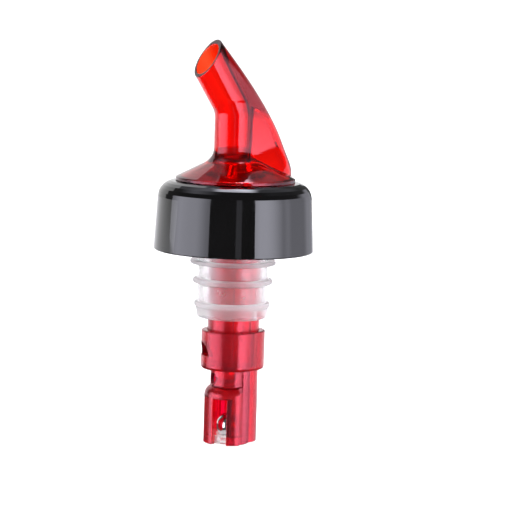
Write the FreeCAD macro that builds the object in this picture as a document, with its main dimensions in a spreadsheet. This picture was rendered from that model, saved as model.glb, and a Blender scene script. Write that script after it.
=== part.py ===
import FreeCAD, Part
import math
import os
import Sketcher
from FreeCAD import Placement, Rotation, Vector

# Measured liquor pourer, upright as it stands in a bottle's neck, in millimetres.
# The origin is on the stopper's axis, in the plane where the stopper's flange rests on the bottle's lip.
# +Z points up out of the bottle, and the spout pours towards -X.

SIZES = [
    ("fit_gap", 0.05, "clearance between pieces that fit into each other"),
    ("seam", 0.2, "how far two parts of one moulding are drawn into each other"),
    ("cut_clear", 3.0, "how far a cut runs on past the surface that it opens"),
    ("ball_radius", 3.5, "both steel balls"),

    ("flange_radius", 11.9, "stopper, top flange"),
    ("flange_thick", 1.0, "stopper, top flange"),
    ("stopper_radius", 9.65, "stopper, body"),
    ("stopper_neck", 1.8, "stopper, height of the neck that stands on the flange"),
    ("stopper_length", 15.0, "stopper, from the lip to its lower end"),
    ("stopper_room", 0.2, "stopper, between the breather lobe and the inside of the wall"),
    ("stopper_hub", 3.2, "stopper, height of the hub that grips the tube"),
    ("fin_thick", 1.05, "stopper, both fins"),
    ("upper_fin_radius", 11.05, "stopper, upper fin"),
    ("upper_fin_depth", 4.8, "stopper, upper fin's middle below the lip"),
    ("lower_fin_radius", 10.5, "stopper, lower fin"),
    ("lower_fin_rise", 3.7, "stopper, lower fin's middle above the stopper's lower end"),
    ("fin_root", 0.35, "stopper, taper of a fin towards its root, each side"),
    ("tail_step", 0.4, "stopper, how much wider the tail starts under the lower fin"),

    ("collar_radius", 22.25, "collar, at its lower edge"),
    ("collar_draft", 0.85, "collar, how much narrower it is where its top rounding starts"),
    ("collar_round", 4.6, "collar, rounding of its top edge"),
    ("collar_lift", 3.7, "collar, lower edge above the lip"),
    ("collar_height", 19.2, "collar, from its lower edge to its flat top"),
    ("collar_wall", 2.0, "collar, side wall"),
    ("collar_plate", 2.4, "collar, top plate"),
    ("hub_room", 0.25, "collar, between the breather lobe and the bore of the hub"),
    ("hub_wall", 1.6, "collar, wall of the hub"),

    ("bore_play", 0.1, "timing bore, how much wider than the ball its radius is"),
    ("bore_offset", 0.95, "timing bore, its centre in front of the axis"),
    ("bore_wall", 1.0, "timing bore, its wall inside the measuring tube"),
    ("tube_step", 1.15, "measuring tube, how far its outside stands out from the cage's neck"),
    ("tube_wall", 1.1, "measuring tube, outer wall"),
    ("lobe_offset", 2.4, "breather lobe, its centre behind the axis"),
    ("air_gap", 1.3, "breather lobe, depth of the air way behind the ball cage"),
    ("web_depth", 2.0, "measuring tube, the solid web's back in front of the axis"),
    ("shoulder_height", 1.5, "measuring tube, its shoulder above the collar's top"),
    ("spigot_wall", 0.9, "measuring tube, wall of the spigot on top of it"),
    ("spigot_height", 4.5, "measuring tube, spigot"),
    ("tube_reach", 12.0, "measuring tube, its joint with the ball cage below the stopper"),
    ("port_width", 5.2, "measuring tube, port behind the metering window"),
    ("port_height", 6.8, "measuring tube, port"),
    ("port_rise", 0.6, "measuring tube, foot of the port above the joint"),

    ("ring_wall", 1.68, "metering ring, wall"),
    ("ring_over", 8.4, "metering ring, upper end above the joint"),
    ("ring_lip", 1.45, "metering ring, the lip under the cage's flange"),
    ("ring_edge", 0.9, "metering ring, rounding of its lower edge"),
    ("ring_brow", 0.35, "metering ring, rounding of its upper edge"),
    ("window_radius", 3.75, "metering ring, half-round window"),
    ("window_rise", 1.4, "metering ring, window's flat foot above the joint"),
    ("window_turn", 14.0, "metering ring, window's turn from the spout about the axis, degrees"),

    ("cage_flange", 1.0, "ball cage, thickness of the flange in the metering ring"),
    ("neck_wall", 0.9, "ball cage, wall of the neck in front of the timing bore"),
    ("neck_length", 7.3, "ball cage, from the joint to the lower end of the neck"),
    ("bore_end", 7.2, "ball cage, from the joint to the floor of the timing bore"),
    ("floor_thick", 1.6, "ball cage, floor between the timing bore and the chamber"),
    ("drain_radius", 1.9, "ball cage, drain hole in the floor"),
    ("chamber_play", 0.4, "ball cage, how much wider than the ball its chamber's radius is"),
    ("metering_radius", 1.4, "ball cage, metering hole in the neck"),
    ("metering_drop", 5.1, "ball cage, metering hole below the joint"),
    ("core_wall", 0.6, "ball cage, wall round the ball retainer"),
    ("shell_step", 1.4, "ball cage, how far the front shell stands out from the core"),
    ("shell_spread", 176.0, "ball cage, how far round the front shell goes, degrees"),
    ("shell_length", 16.05, "ball cage, front shell from the neck to its lower end"),
    ("dome_radius", 3.0, "ball cage, rounding of the dome"),
    ("core_drop", 0.15, "ball cage, how far the core's foot shows below the front shell"),
    ("lobe_lift", 0.45, "breather lobe, its lower end above the front shell's"),
    ("slot_width", 4.3, "ball cage, slots"),
    ("slot_turn", 38.6, "ball cage, each slot's turn from the spout about the axis, degrees"),
    ("slot_drop", 3.2, "ball cage, top of the slots below the neck"),

    ("retainer_shelf", 1.1, "ball retainer, how much wider than the chamber its radius is"),
    ("retainer_height", 2.2, "ball retainer"),
    ("retainer_bore", 2.4, "ball retainer, drain hole"),
    ("retainer_edge", 0.25, "ball retainer, bevel of its outer edges"),

    ("seat_height", 3.3, "ball seat"),
    ("seat_step", 0.9, "ball seat, how much narrower than the ball its throat's radius is"),
    ("seat_bevel", 1.0, "ball seat, depth of its lead-in"),

    ("socket_wall", 0.6, "spout, wall round the socket that takes the spigot and the seat"),
    ("spout_wall", 0.9, "spout, wall of the pouring tube"),
    ("sleeve_wall", 0.95, "spout, wall of the sleeve inside the skirt"),
    ("kink_rise", 19.96, "spout, where the tube's centre lines would meet, above the collar"),
    ("spout_tilt", 32.4, "spout, tilt of its upper stretch from upright, degrees"),
    ("bend_radius", 9.5, "spout, centre line's bend"),
    ("mouth_reach", 16.27, "spout, from the kink to the mouth's middle along the centre line"),
    ("mouth_rise", 30.6, "spout, how far the mouth's plane looks up from level, degrees"),
    ("mouth_block", 24.0, "spout, depth and width of the block that is cut off at the mouth"),
    ("skirt_radius", 16.6, "spout, skirt's edge on the collar"),
    ("skirt_edge", 1.0, "spout, height of the skirt's upright edge"),
    ("skirt_slope", 27.0, "spout, slope of the skirt, degrees"),
    ("skirt_blend", 5.5, "spout, rounding between the skirt and the tube"),
    ("skirt_land", 2.0, "spout, width of the skirt's foot on the collar"),
    ("hollow_rise", 5.4, "spout, top of the hollow in the skirt above the collar"),
    ("hollow_neck", 0.15, "spout, the hollow's room in front of the sleeve at its top"),
    ("hood_wall", 1.05, "spout, wall of the hood"),
    ("vent_radius", 0.8, "spout, breather hole in the hood's back"),
    ("vent_rise", 10.1, "spout, breather hole above the collar"),
]

# The hood's level sections: what each is measured from, its height above the collar's top or above
# the spout's kink, its reach behind the skirt's edge or behind the tube's back, and its back's radius.
HOOD_SECTIONS = [
    ("foot", "skirt", 0.0, -0.25, 9.0),
    ("hip", "skirt", 3.8, -0.3, 8.0),
    ("waist", "skirt", 7.6, -1.6, 5.6),
    ("back", "tube", -7.36, 8.65, 4.4),
    ("elbow", "tube", -0.86, 4.9, 4.3),
    ("nape", "tube", 9.14, 2.45, 4.3),
    ("crown", "tube", 19.64, 0.25, 4.0),
]
HOOD_HOLLOW_PLACES = ["foot", "hip", "waist", "back", "elbow"]


def number(item):
    """The number that a size or a plain number stands for."""
    return item.value if isinstance(item, Size) else item


def words(item):
    """The expression that a size or a plain number stands for."""
    return item.text if isinstance(item, Size) else repr(item)


class Size:
    """A size kept both as a number and as the expression over the sheet that gives it."""

    def __init__(self, value, text):
        self.value = value
        self.text = text

    def __add__(self, other):
        return Size(self.value + number(other), f"({self.text} + {words(other)})")

    def __radd__(self, other):
        return Size(number(other) + self.value, f"({words(other)} + {self.text})")

    def __sub__(self, other):
        return Size(self.value - number(other), f"({self.text} - {words(other)})")

    def __rsub__(self, other):
        return Size(number(other) - self.value, f"({words(other)} - {self.text})")

    def __mul__(self, other):
        return Size(self.value * number(other), f"({self.text} * {words(other)})")

    def __rmul__(self, other):
        return Size(number(other) * self.value, f"({words(other)} * {self.text})")

    def __truediv__(self, other):
        return Size(self.value / number(other), f"({self.text} / {words(other)})")

    def __rtruediv__(self, other):
        return Size(number(other) / self.value, f"({words(other)} / {self.text})")

    def __neg__(self):
        return Size(-self.value, f"(0 - {self.text})")


def root(size):
    """The square root of a size."""
    return Size(math.sqrt(size.value), f"sqrt({size.text})")


def sine(angle):
    """The sine of an angle given in degrees."""
    return Size(math.sin(math.radians(angle.value)), f"sin({angle.text} * 1 deg)")


def cosine(angle):
    """The cosine of an angle given in degrees."""
    return Size(math.cos(math.radians(angle.value)), f"cos({angle.text} * 1 deg)")


def tangent(angle):
    """The tangent of an angle given in degrees."""
    return Size(math.tan(math.radians(angle.value)), f"tan({angle.text} * 1 deg)")


def leg(hypotenuse, other_leg):
    """The remaining side of a right-angled triangle."""
    return root(hypotenuse * hypotenuse - other_leg * other_leg)


doc = FreeCAD.newDocument("MeasuredPourer")
sheet = doc.addObject("Spreadsheet::Sheet", "Sizes")


def add_to_sheet(row, alias, value, note):
    """Write one driving dimension into the sheet and hand it back as a size."""
    sheet.set(f"A{row}", note)
    sheet.set(f"B{row}", str(value))
    sheet.setAlias(f"B{row}", alias)
    return Size(float(value), f"Sizes.{alias}")


size = {}
for row, (alias, value, note) in enumerate(SIZES, start=1):
    size[alias] = add_to_sheet(row, alias, value, note)
for place, _, rise, reach, rounding in HOOD_SECTIONS:
    for ending, value in (("rise", rise), ("reach", reach), ("rounding", rounding)):
        row += 1
        alias = f"hood_{place}_{ending}"
        size[alias] = add_to_sheet(row, alias, value, f"spout, hood's {ending} at the {place}")
doc.recompute()


def new_body(label):
    """An empty body for one piece."""
    body = doc.addObject("PartDesign::Body", label)
    body.Label = label
    return body


def new_sketch(body, name, plane, lift=None, turn=None):
    """An empty sketch on one of the body's own origin planes, lifted off it or turned about its upright."""
    sketch = body.newObject("Sketcher::SketchObject", f"{body.Label}_{name}")
    support = [item for item in body.Origin.OriginFeatures if item.Role == plane][0]
    sketch.AttachmentSupport = [(support, "")]
    sketch.MapMode = "FlatFace"
    if lift is not None:
        sketch.AttachmentOffset = Placement(Vector(0, 0, number(lift)), Rotation())
        if isinstance(lift, Size):
            sketch.setExpression("AttachmentOffset.Base.z", lift.text)
    if turn is not None:
        sketch.AttachmentOffset = Placement(Vector(), Rotation(Vector(0, 1, 0), turn.value))
        sketch.setExpression("AttachmentOffset.Rotation.Angle", turn.text)
    return sketch


def hold(sketch, kind, geometry, point, place, axis):
    """Hold one coordinate of a point: on the axis where it is zero, and at its size elsewhere."""
    if isinstance(place, Size):
        constraint = Sketcher.Constraint(kind, -1, 1, geometry, point, place.value)
        index = sketch.addConstraint(constraint)
        sketch.setExpression(f"Constraints[{index}]", place.text)
    else:
        sketch.addConstraint(Sketcher.Constraint("PointOnObject", geometry, point, axis))


def hold_point(sketch, geometry, point, x, y):
    """Hold a point of the sketch at x and y."""
    hold(sketch, "DistanceX", geometry, point, x, -2)
    hold(sketch, "DistanceY", geometry, point, y, -1)


def hold_radius(sketch, geometry, radius):
    """Give a circle or an arc its radius."""
    index = sketch.addConstraint(Sketcher.Constraint("Radius", geometry, radius.value))
    sketch.setExpression(f"Constraints[{index}]", radius.text)


def add_circle(sketch, x, radius):
    """A circle centred on the sketch's level axis."""
    centre = Vector(number(x), 0, 0)
    index = sketch.addGeometry(Part.Circle(centre, Vector(0, 0, 1), radius.value), False)
    hold_point(sketch, index, 3, x, 0)
    hold_radius(sketch, index, radius)


def add_upright_circle(sketch, height, radius):
    """A circle centred on the sketch's upright axis."""
    centre = Vector(0, height.value, 0)
    index = sketch.addGeometry(Part.Circle(centre, Vector(0, 0, 1), radius.value), False)
    hold_point(sketch, index, 3, 0, height)
    hold_radius(sketch, index, radius)


def add_edge(sketch, start, end, bulge):
    """A straight edge, or an arc of the radius in bulge, which is negative where it turns right."""
    first = Vector(number(start[0]), number(start[1]), 0)
    last = Vector(number(end[0]), number(end[1]), 0)
    if bulge is None:
        index = sketch.addGeometry(Part.LineSegment(first, last), False)
        return index, 1, 2
    radius = abs(bulge.value)
    left_turn = bulge.value > 0
    chord = last - first
    height = math.sqrt(radius * radius - chord.Length * chord.Length / 4)
    across = Vector(-chord.y, chord.x, 0).normalize()
    centre = (first + last) * 0.5 + across * (height if left_turn else -height)
    low, high = (first, last) if left_turn else (last, first)
    low_angle = math.atan2(low.y - centre.y, low.x - centre.x)
    high_angle = math.atan2(high.y - centre.y, high.x - centre.x)
    circle = Part.Circle(centre, Vector(0, 0, 1), radius)
    index = sketch.addGeometry(Part.ArcOfCircle(circle, low_angle, high_angle), False)
    hold_radius(sketch, index, bulge if left_turn else -bulge)
    return (index, 1, 2) if left_turn else (index, 2, 1)


def add_outline(sketch, corners, bulges=None, closed=True):
    """An outline through the corners; bulges gives the arcs by the corner that they start from."""
    bulges = bulges or {}
    count = len(corners) if closed else len(corners) - 1
    edges = []
    for step in range(count):
        start = corners[step]
        end = corners[(step + 1) % len(corners)]
        edges.append(add_edge(sketch, start, end, bulges.get(step)))
    for step, (index, first, last) in enumerate(edges):
        hold_point(sketch, index, first, *corners[step])
        if closed or step + 1 < count:
            follower, follower_first, _ = edges[(step + 1) % len(edges)]
            sketch.addConstraint(Sketcher.Constraint("Coincident", index, last, follower, follower_first))
        else:
            hold_point(sketch, index, last, *corners[-1])


def add_lobed_outline(sketch, radius, lobe_radius):
    """The tube's outline: a round front about the axis, and the breather lobe's arc behind it."""
    offset = size["lobe_offset"].value
    reach = (offset ** 2 + radius.value ** 2 - lobe_radius.value ** 2) / (2 * offset)
    half = math.sqrt(radius.value ** 2 - reach ** 2)
    front_angle = math.atan2(half, reach)
    lobe_angle = math.atan2(half, reach - offset)
    up = Vector(0, 0, 1)
    front_circle = Part.Circle(Vector(), up, radius.value)
    lobe_circle = Part.Circle(Vector(offset, 0, 0), up, lobe_radius.value)
    front = sketch.addGeometry(Part.ArcOfCircle(front_circle, front_angle, 2 * math.pi - front_angle), False)
    lobe = sketch.addGeometry(Part.ArcOfCircle(lobe_circle, -lobe_angle, lobe_angle), False)
    sketch.addConstraint(Sketcher.Constraint("Coincident", front, 3, -1, 1))
    hold_point(sketch, lobe, 3, size["lobe_offset"], 0)
    hold_radius(sketch, front, radius)
    hold_radius(sketch, lobe, lobe_radius)
    sketch.addConstraint(Sketcher.Constraint("Coincident", front, 1, lobe, 2))
    sketch.addConstraint(Sketcher.Constraint("Coincident", front, 2, lobe, 1))


def grow(body, kind, name, sketch):
    """A feature of the body made from a sketch."""
    item = body.newObject(f"PartDesign::{kind}", f"{body.Label}_{name}")
    item.Profile = sketch
    sketch.Visibility = False
    return item


def extrude(body, kind, name, sketch, length, down=False, both=False):
    """A pad or a pocket of the given length; a pocket with down set cuts away from the sketch's normal."""
    item = grow(body, kind, name, sketch)
    item.Type = "Length"
    item.setExpression("Length", length.text)
    item.SideType = "Symmetric" if both else "One side"
    item.Reversed = down if kind == "Pad" else not down
    doc.recompute()
    return item


def turn_round(body, kind, name, sketch, sweep=None):
    """A revolution or a groove about the sketch's upright axis, whole or centred on the sketch."""
    item = grow(body, kind, name, sketch)
    item.ReferenceAxis = (sketch, ["V_Axis"])
    if sweep is None:
        item.Angle = 360
    else:
        item.Midplane = True
        item.setExpression("Angle", sweep.text)
    doc.recompute()
    return item


def round_edges(body, name, radius, test):
    """Fillet the edges of the body's last feature that pass the test."""
    base = body.Tip
    chosen = [f"Edge{i}" for i, edge in enumerate(base.Shape.Edges, start=1) if test(edge)]
    item = body.newObject("PartDesign::Fillet", f"{body.Label}_{name}")
    item.Base = (base, chosen)
    item.setExpression("Radius", radius.text)
    doc.recompute()
    return item


def level_edge(height):
    """A test for edges that lie in the level plane at this height."""
    def test(edge):
        box = edge.BoundBox
        return abs(box.ZMin - height) < 1e-4 and abs(box.ZMax - height) < 1e-4
    return test


stopper_top = size["flange_thick"] + size["stopper_neck"]
collar_top = size["collar_lift"] + size["collar_height"]
tube_top = collar_top + size["shoulder_height"]
seat_foot = tube_top + size["spigot_height"]
seat_top = seat_foot + size["seat_height"]
joint = -(size["stopper_length"] + size["tube_reach"])
flange_foot = joint - size["cage_flange"]
ring_foot = flange_foot - size["fit_gap"] - size["ring_lip"]
ring_top = joint + size["ring_over"]
neck_foot = joint - size["neck_length"]
bore_floor = joint - size["bore_end"]
chamber_top = bore_floor - size["floor_thick"]
shell_foot = neck_foot - size["shell_length"]
core_foot = shell_foot - size["core_drop"]
lobe_foot = shell_foot + size["lobe_lift"]
retainer_top = shell_foot + size["retainer_height"]

bore_centre = -size["bore_offset"]
bore_radius = size["ball_radius"] + size["bore_play"]
spigot_radius = bore_radius + size["spigot_wall"]
socket_radius = spigot_radius + size["fit_gap"]
spout_radius = socket_radius + size["socket_wall"]
seat_radius = size["ball_radius"] - size["seat_step"]
spout_bore = spout_radius - size["spout_wall"]
sleeve_radius = socket_radius + size["sleeve_wall"]
neck_radius = size["bore_offset"] + bore_radius + size["neck_wall"]
tube_radius = neck_radius + size["tube_step"]
ring_radius = tube_radius + size["ring_wall"]
chamber_radius = size["ball_radius"] + size["chamber_play"]
retainer_radius = chamber_radius + size["retainer_shelf"]
core_radius = retainer_radius + size["fit_gap"] + size["core_wall"]
cage_radius = core_radius + size["shell_step"]
lobe_reach = core_radius + size["air_gap"] + size["tube_wall"]
lobe_radius = lobe_reach - size["lobe_offset"]
kink_height = collar_top + size["kink_rise"]
hollow_top = collar_top + size["hollow_rise"]
vent_height = collar_top + size["vent_rise"]


def make_stopper():
    """The finned stopper: a thin cup that grips the tube, with a flange for the lip and a short neck on it."""
    body = new_body("stopper")
    sketch = new_sketch(body, "section", "XZ_Plane")
    wall = size["stopper_radius"]
    cavity = lobe_reach + size["stopper_room"]
    tail = wall + size["tail_step"]
    half_fin = size["fin_thick"] / 2
    root_half = half_fin + size["fin_root"]
    lip = Size(0.0, "0.0")
    foot = -size["stopper_length"]
    upper = -size["upper_fin_depth"]
    lower = foot + size["lower_fin_rise"]
    hub_top = foot + size["stopper_hub"]
    corners = [
        (cavity, stopper_top),
        (cavity, hub_top),
        (0, hub_top),
        (0, foot),
        (wall, foot),
        (tail, lower - root_half),
        (size["lower_fin_radius"], lower - half_fin),
        (size["lower_fin_radius"], lower + half_fin),
        (wall, lower + root_half),
        (wall, upper - root_half),
        (size["upper_fin_radius"], upper - half_fin),
        (size["upper_fin_radius"], upper + half_fin),
        (wall, upper + root_half),
        (wall, lip),
        (size["flange_radius"], lip),
        (size["flange_radius"], size["flange_thick"]),
        (wall, size["flange_thick"]),
        (wall, stopper_top),
    ]
    add_outline(sketch, corners)
    turn_round(body, "Revolution", "cup", sketch)
    grip = new_sketch(body, "grip", "XY_Plane", lift=foot)
    gap = size["fit_gap"]
    add_lobed_outline(grip, tube_radius + gap, lobe_radius + gap)
    extrude(body, "Pocket", "grip_bore", grip, size["stopper_hub"])
    return body


def make_collar():
    """The hollow black collar, with the hub that stands on the stopper's neck."""
    body = new_body("collar")
    sketch = new_sketch(body, "section", "XZ_Plane")
    low = size["collar_lift"]
    rounding = size["collar_round"]
    wall = size["collar_wall"]
    plate_foot = collar_top - size["collar_plate"]
    shoulder = size["collar_radius"] - size["collar_draft"]
    bore = lobe_reach + size["hub_room"]
    hub = bore + size["hub_wall"]
    inner_round = rounding - wall
    inner_shoulder = shoulder - wall
    corners = [
        (bore, stopper_top),
        (hub, stopper_top),
        (hub, plate_foot),
        (inner_shoulder - inner_round, plate_foot),
        (inner_shoulder, plate_foot - inner_round),
        (size["collar_radius"] - wall, low),
        (size["collar_radius"], low),
        (shoulder, collar_top - rounding),
        (shoulder - rounding, collar_top),
        (bore, collar_top),
    ]
    add_outline(sketch, corners, {3: -inner_round, 7: rounding})
    turn_round(body, "Revolution", "shell", sketch)
    return body


def make_measuring_tube():
    """The lobed tube with the timing bore inside it, and the lobe that runs on down behind the cage."""
    body = new_body("measuring_tube")
    length = tube_top - joint
    outer = new_sketch(body, "outside", "XY_Plane", lift=joint)
    add_lobed_outline(outer, tube_radius, lobe_radius)
    extrude(body, "Pad", "tube", outer, length)
    inner = new_sketch(body, "inside", "XY_Plane", lift=joint)
    inner_radius = tube_radius - size["tube_wall"]
    inner_lobe = lobe_radius - size["tube_wall"]
    add_lobed_outline(inner, inner_radius, inner_lobe)
    extrude(body, "Pocket", "air_way", inner, length)
    web = new_sketch(body, "web", "XY_Plane", lift=joint)
    web_radius = tube_radius - size["tube_wall"] / 2
    half = leg(web_radius, size["web_depth"])
    middle = (-web_radius, 0)
    corners = [(-size["web_depth"], -half), (-size["web_depth"], half), middle]
    add_outline(web, corners, {1: web_radius, 2: web_radius})
    extrude(body, "Pad", "front_web", web, length)
    liner = new_sketch(body, "liner", "XY_Plane", lift=joint)
    add_circle(liner, bore_centre, bore_radius + size["bore_wall"])
    extrude(body, "Pad", "bore_liner", liner, length)
    spigot = new_sketch(body, "spigot", "XY_Plane", lift=tube_top)
    add_circle(spigot, bore_centre, spigot_radius)
    extrude(body, "Pad", "spigot_pad", spigot, size["spigot_height"])
    run = joint - lobe_foot
    lobe = new_sketch(body, "lobe", "XY_Plane", lift=lobe_foot)
    add_circle(lobe, size["lobe_offset"], lobe_radius)
    extrude(body, "Pad", "lobe_run", lobe, run)
    channel = new_sketch(body, "channel", "XY_Plane", lift=lobe_foot)
    add_circle(channel, size["lobe_offset"], inner_lobe)
    extrude(body, "Pocket", "lobe_channel", channel, run)
    seat = new_sketch(body, "cage_seat", "XY_Plane", lift=lobe_foot)
    add_circle(seat, 0, core_radius + size["fit_gap"])
    extrude(body, "Pocket", "cage_room", seat, run)
    bore = new_sketch(body, "bore", "XY_Plane", lift=joint)
    add_circle(bore, bore_centre, bore_radius)
    extrude(body, "Pocket", "timing_bore", bore, seat_foot - joint)
    port = new_sketch(body, "port", "YZ_Plane", turn=-size["window_turn"])
    side = size["port_width"] / 2
    sill = joint + size["port_rise"]
    top = sill + size["port_height"]
    add_outline(port, [(-side, sill), (side, sill), (side, top), (-side, top)])
    extrude(body, "Pocket", "port_cut", port, tube_radius + size["cut_clear"], down=True)
    return body


def make_metering_ring():
    """The sleeve that sets the dose: its half-round window over the tube's port, its lip under the cage."""
    body = new_body("metering_ring")
    gap = size["fit_gap"]
    length = ring_top - ring_foot
    outer = new_sketch(body, "outside", "XY_Plane", lift=ring_foot)
    add_lobed_outline(outer, ring_radius, lobe_radius + size["ring_wall"])
    extrude(body, "Pad", "sleeve", outer, length)
    round_edges(body, "lower_round", size["ring_edge"], level_edge(ring_foot.value))
    round_edges(body, "upper_round", size["ring_brow"], level_edge(ring_top.value))
    bore = new_sketch(body, "bore", "XY_Plane", lift=ring_foot + size["ring_lip"])
    add_lobed_outline(bore, tube_radius + gap, lobe_radius + gap)
    extrude(body, "Pocket", "sleeve_bore", bore, length)
    lip = new_sketch(body, "lip", "XY_Plane", lift=ring_foot)
    add_lobed_outline(lip, core_radius + gap, lobe_radius + gap)
    extrude(body, "Pocket", "lip_bore", lip, length)
    window = new_sketch(body, "window", "YZ_Plane", turn=-size["window_turn"])
    sill = joint + size["window_rise"]
    radius = size["window_radius"]
    corners = [(-radius, sill), (radius, sill), (0, sill + radius)]
    add_outline(window, corners, {1: radius, 2: radius})
    extrude(body, "Pocket", "window_cut", window, ring_radius + size["cut_clear"], down=True)
    return body


def make_ball_cage():
    """The neck that ends the timing bore, with the domed and slotted cage under it."""
    body = new_body("ball_cage")
    core = new_sketch(body, "core", "XZ_Plane")
    corners = [
        (0, core_foot),
        (core_radius, core_foot),
        (core_radius, neck_foot),
        (neck_radius, neck_foot),
        (neck_radius, joint),
        (0, joint),
    ]
    add_outline(core, corners)
    turn_round(body, "Revolution", "core_turn", core)
    inside = neck_radius - size["seam"]
    flange = new_sketch(body, "flange", "XZ_Plane")
    corners = [
        (-tube_radius, flange_foot),
        (-inside, flange_foot),
        (-inside, joint),
        (-tube_radius, joint),
    ]
    add_outline(flange, corners)
    turn_round(body, "Revolution", "flange_turn", flange, size["shell_spread"])
    shell = new_sketch(body, "shell", "XZ_Plane")
    dome = size["dome_radius"]
    dome_centre = cage_radius - dome
    shoulder = neck_foot - leg(dome, neck_radius - dome_centre)
    corners = [
        (-cage_radius, shell_foot),
        (-inside, shell_foot),
        (-inside, neck_foot),
        (-neck_radius, neck_foot),
        (-cage_radius, shoulder),
    ]
    add_outline(shell, corners, {3: dome})
    turn_round(body, "Revolution", "shell_turn", shell, size["shell_spread"])
    bore = new_sketch(body, "bore", "XY_Plane", lift=bore_floor)
    add_circle(bore, bore_centre, bore_radius)
    extrude(body, "Pocket", "bore_end", bore, size["bore_end"])
    chamber = new_sketch(body, "chamber", "XZ_Plane")
    hoop = retainer_radius + size["fit_gap"]
    corners = [
        (0, core_foot),
        (hoop, core_foot),
        (hoop, retainer_top),
        (chamber_radius, retainer_top),
        (chamber_radius, chamber_top),
        (size["drain_radius"], chamber_top),
        (size["drain_radius"], bore_floor),
        (0, bore_floor),
    ]
    add_outline(chamber, corners)
    turn_round(body, "Groove", "chamber_cut", chamber)
    side = size["slot_width"] / 2
    top = neck_foot - size["slot_drop"]
    for place, way in (("left", 1), ("right", -1)):
        slot = new_sketch(body, f"{place}_slot", "YZ_Plane", turn=size["slot_turn"] * way)
        add_outline(slot, [(-side, core_foot), (side, core_foot), (side, top), (-side, top)])
        extrude(body, "Pocket", f"{place}_slot_cut", slot, cage_radius + size["cut_clear"], down=True)
    hole = new_sketch(body, "metering_hole", "YZ_Plane")
    add_upright_circle(hole, joint - size["metering_drop"], size["metering_radius"])
    extrude(body, "Pocket", "metering_cut", hole, neck_radius + size["cut_clear"], down=True)
    return body


def make_ball_retainer():
    """The pale hoop in the cage's foot, which the reset ball rests on."""
    body = new_body("ball_retainer")
    sketch = new_sketch(body, "section", "XZ_Plane")
    edge = size["retainer_edge"]
    corners = [
        (size["retainer_bore"], shell_foot),
        (retainer_radius - edge, shell_foot),
        (retainer_radius, shell_foot + edge),
        (retainer_radius, retainer_top - edge),
        (retainer_radius - edge, retainer_top),
        (size["retainer_bore"], retainer_top),
    ]
    add_outline(sketch, corners)
    turn_round(body, "Revolution", "hoop", sketch)
    return body


def make_ball_seat():
    """The seat ring on top of the timing bore, which the timing ball closes."""
    body = new_body("ball_seat")
    sketch = new_sketch(body, "section", "XZ_Plane")
    corners = [
        (seat_radius, seat_foot + size["seat_bevel"]),
        (bore_radius, seat_foot),
        (spigot_radius, seat_foot),
        (spigot_radius, seat_top),
        (seat_radius, seat_top),
    ]
    add_outline(sketch, corners)
    turn_round(body, "Revolution", "ring", sketch)
    body.setExpression("Placement.Base.x", bore_centre.text)
    doc.recompute()
    return body


def make_ball(label, x, height):
    """A steel ball, centred at the given height."""
    body = new_body(label)
    sketch = new_sketch(body, "section", "XZ_Plane")
    radius = size["ball_radius"]
    add_outline(sketch, [(0, -radius), (radius, 0), (0, radius)], {0: radius, 1: radius})
    turn_round(body, "Revolution", "sphere", sketch)
    body.setExpression("Placement.Base.z", height.text)
    if isinstance(x, Size):
        body.setExpression("Placement.Base.x", x.text)
    doc.recompute()
    return body


def hood_height(place, base):
    """The height of one of the hood's level sections."""
    foot = collar_top if base == "skirt" else kink_height
    return foot + size[f"hood_{place}_rise"]


def tube_at(height):
    """The tube's centre and its level section's stretch along the spout's plane, at this height."""
    if height.value < kink_height.value:
        return bore_centre, Size(1.0, "1.0")
    tilt = size["spout_tilt"]
    return bore_centre - (height - kink_height) * tangent(tilt), 1.0 / cosine(tilt)


def hood_outline(sketch, place, base, inset):
    """One level section of the hood: straight flanks from the tube to a round back."""
    tube_centre, stretch = tube_at(hood_height(place, base))
    start = size["skirt_radius"] if base == "skirt" else tube_centre + spout_radius * stretch
    tube_half = spout_radius - inset
    rounding = size[f"hood_{place}_rounding"] - inset
    centre = start + size[f"hood_{place}_reach"] - size[f"hood_{place}_rounding"]
    lean = (tube_half - rounding) / (centre - tube_centre)
    upright = root(1.0 - lean * lean)
    front = (tube_centre + tube_half * stretch * lean, tube_half * upright)
    back = (centre + rounding * lean, rounding * upright)
    tip = (centre + rounding, 0)
    corners = [(front[0], -front[1]), (back[0], -back[1]), tip, back, front]
    add_outline(sketch, corners, {1: rounding, 2: rounding})


def hood_loft(body, kind, name, sections, inset):
    """A loft through level sections of the hood, drawn in by the inset."""
    sketches = []
    for place, base, *_ in sections:
        sketch = new_sketch(body, f"{name}_{place}", "XY_Plane", lift=hood_height(place, base))
        hood_outline(sketch, place, base, inset)
        sketches.append(sketch)
    item = grow(body, kind, name, sketches[0])
    item.Sections = sketches[1:]
    doc.recompute()
    return item


def along_spout(reach):
    """The point of the upper stretch's centre line at this distance from the kink."""
    tilt = size["spout_tilt"]
    return bore_centre - reach * sine(tilt), kink_height + reach * cosine(tilt)


def tube_line(body, name):
    """The pouring tube's centre line: upright, then the bend, then tilted and on past the mouth."""
    sketch = new_sketch(body, name, "XZ_Plane")
    run_in = size["bend_radius"] * tangent(size["spout_tilt"] / 2)
    corners = [
        (bore_centre, tube_top),
        (bore_centre, kink_height - run_in),
        along_spout(run_in),
        along_spout(size["mouth_reach"] + spout_radius * 2),
    ]
    add_outline(sketch, corners, {1: size["bend_radius"]}, closed=False)
    return sketch


def pipe(body, kind, name, radius):
    """A round pipe of the given radius along the pouring tube's centre line."""
    circle = new_sketch(body, f"{name}_circle", "XY_Plane", lift=tube_top)
    add_circle(circle, bore_centre, radius)
    item = grow(body, kind, name, circle)
    item.Spine = tube_line(body, f"{name}_line")
    doc.recompute()
    return item


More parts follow.
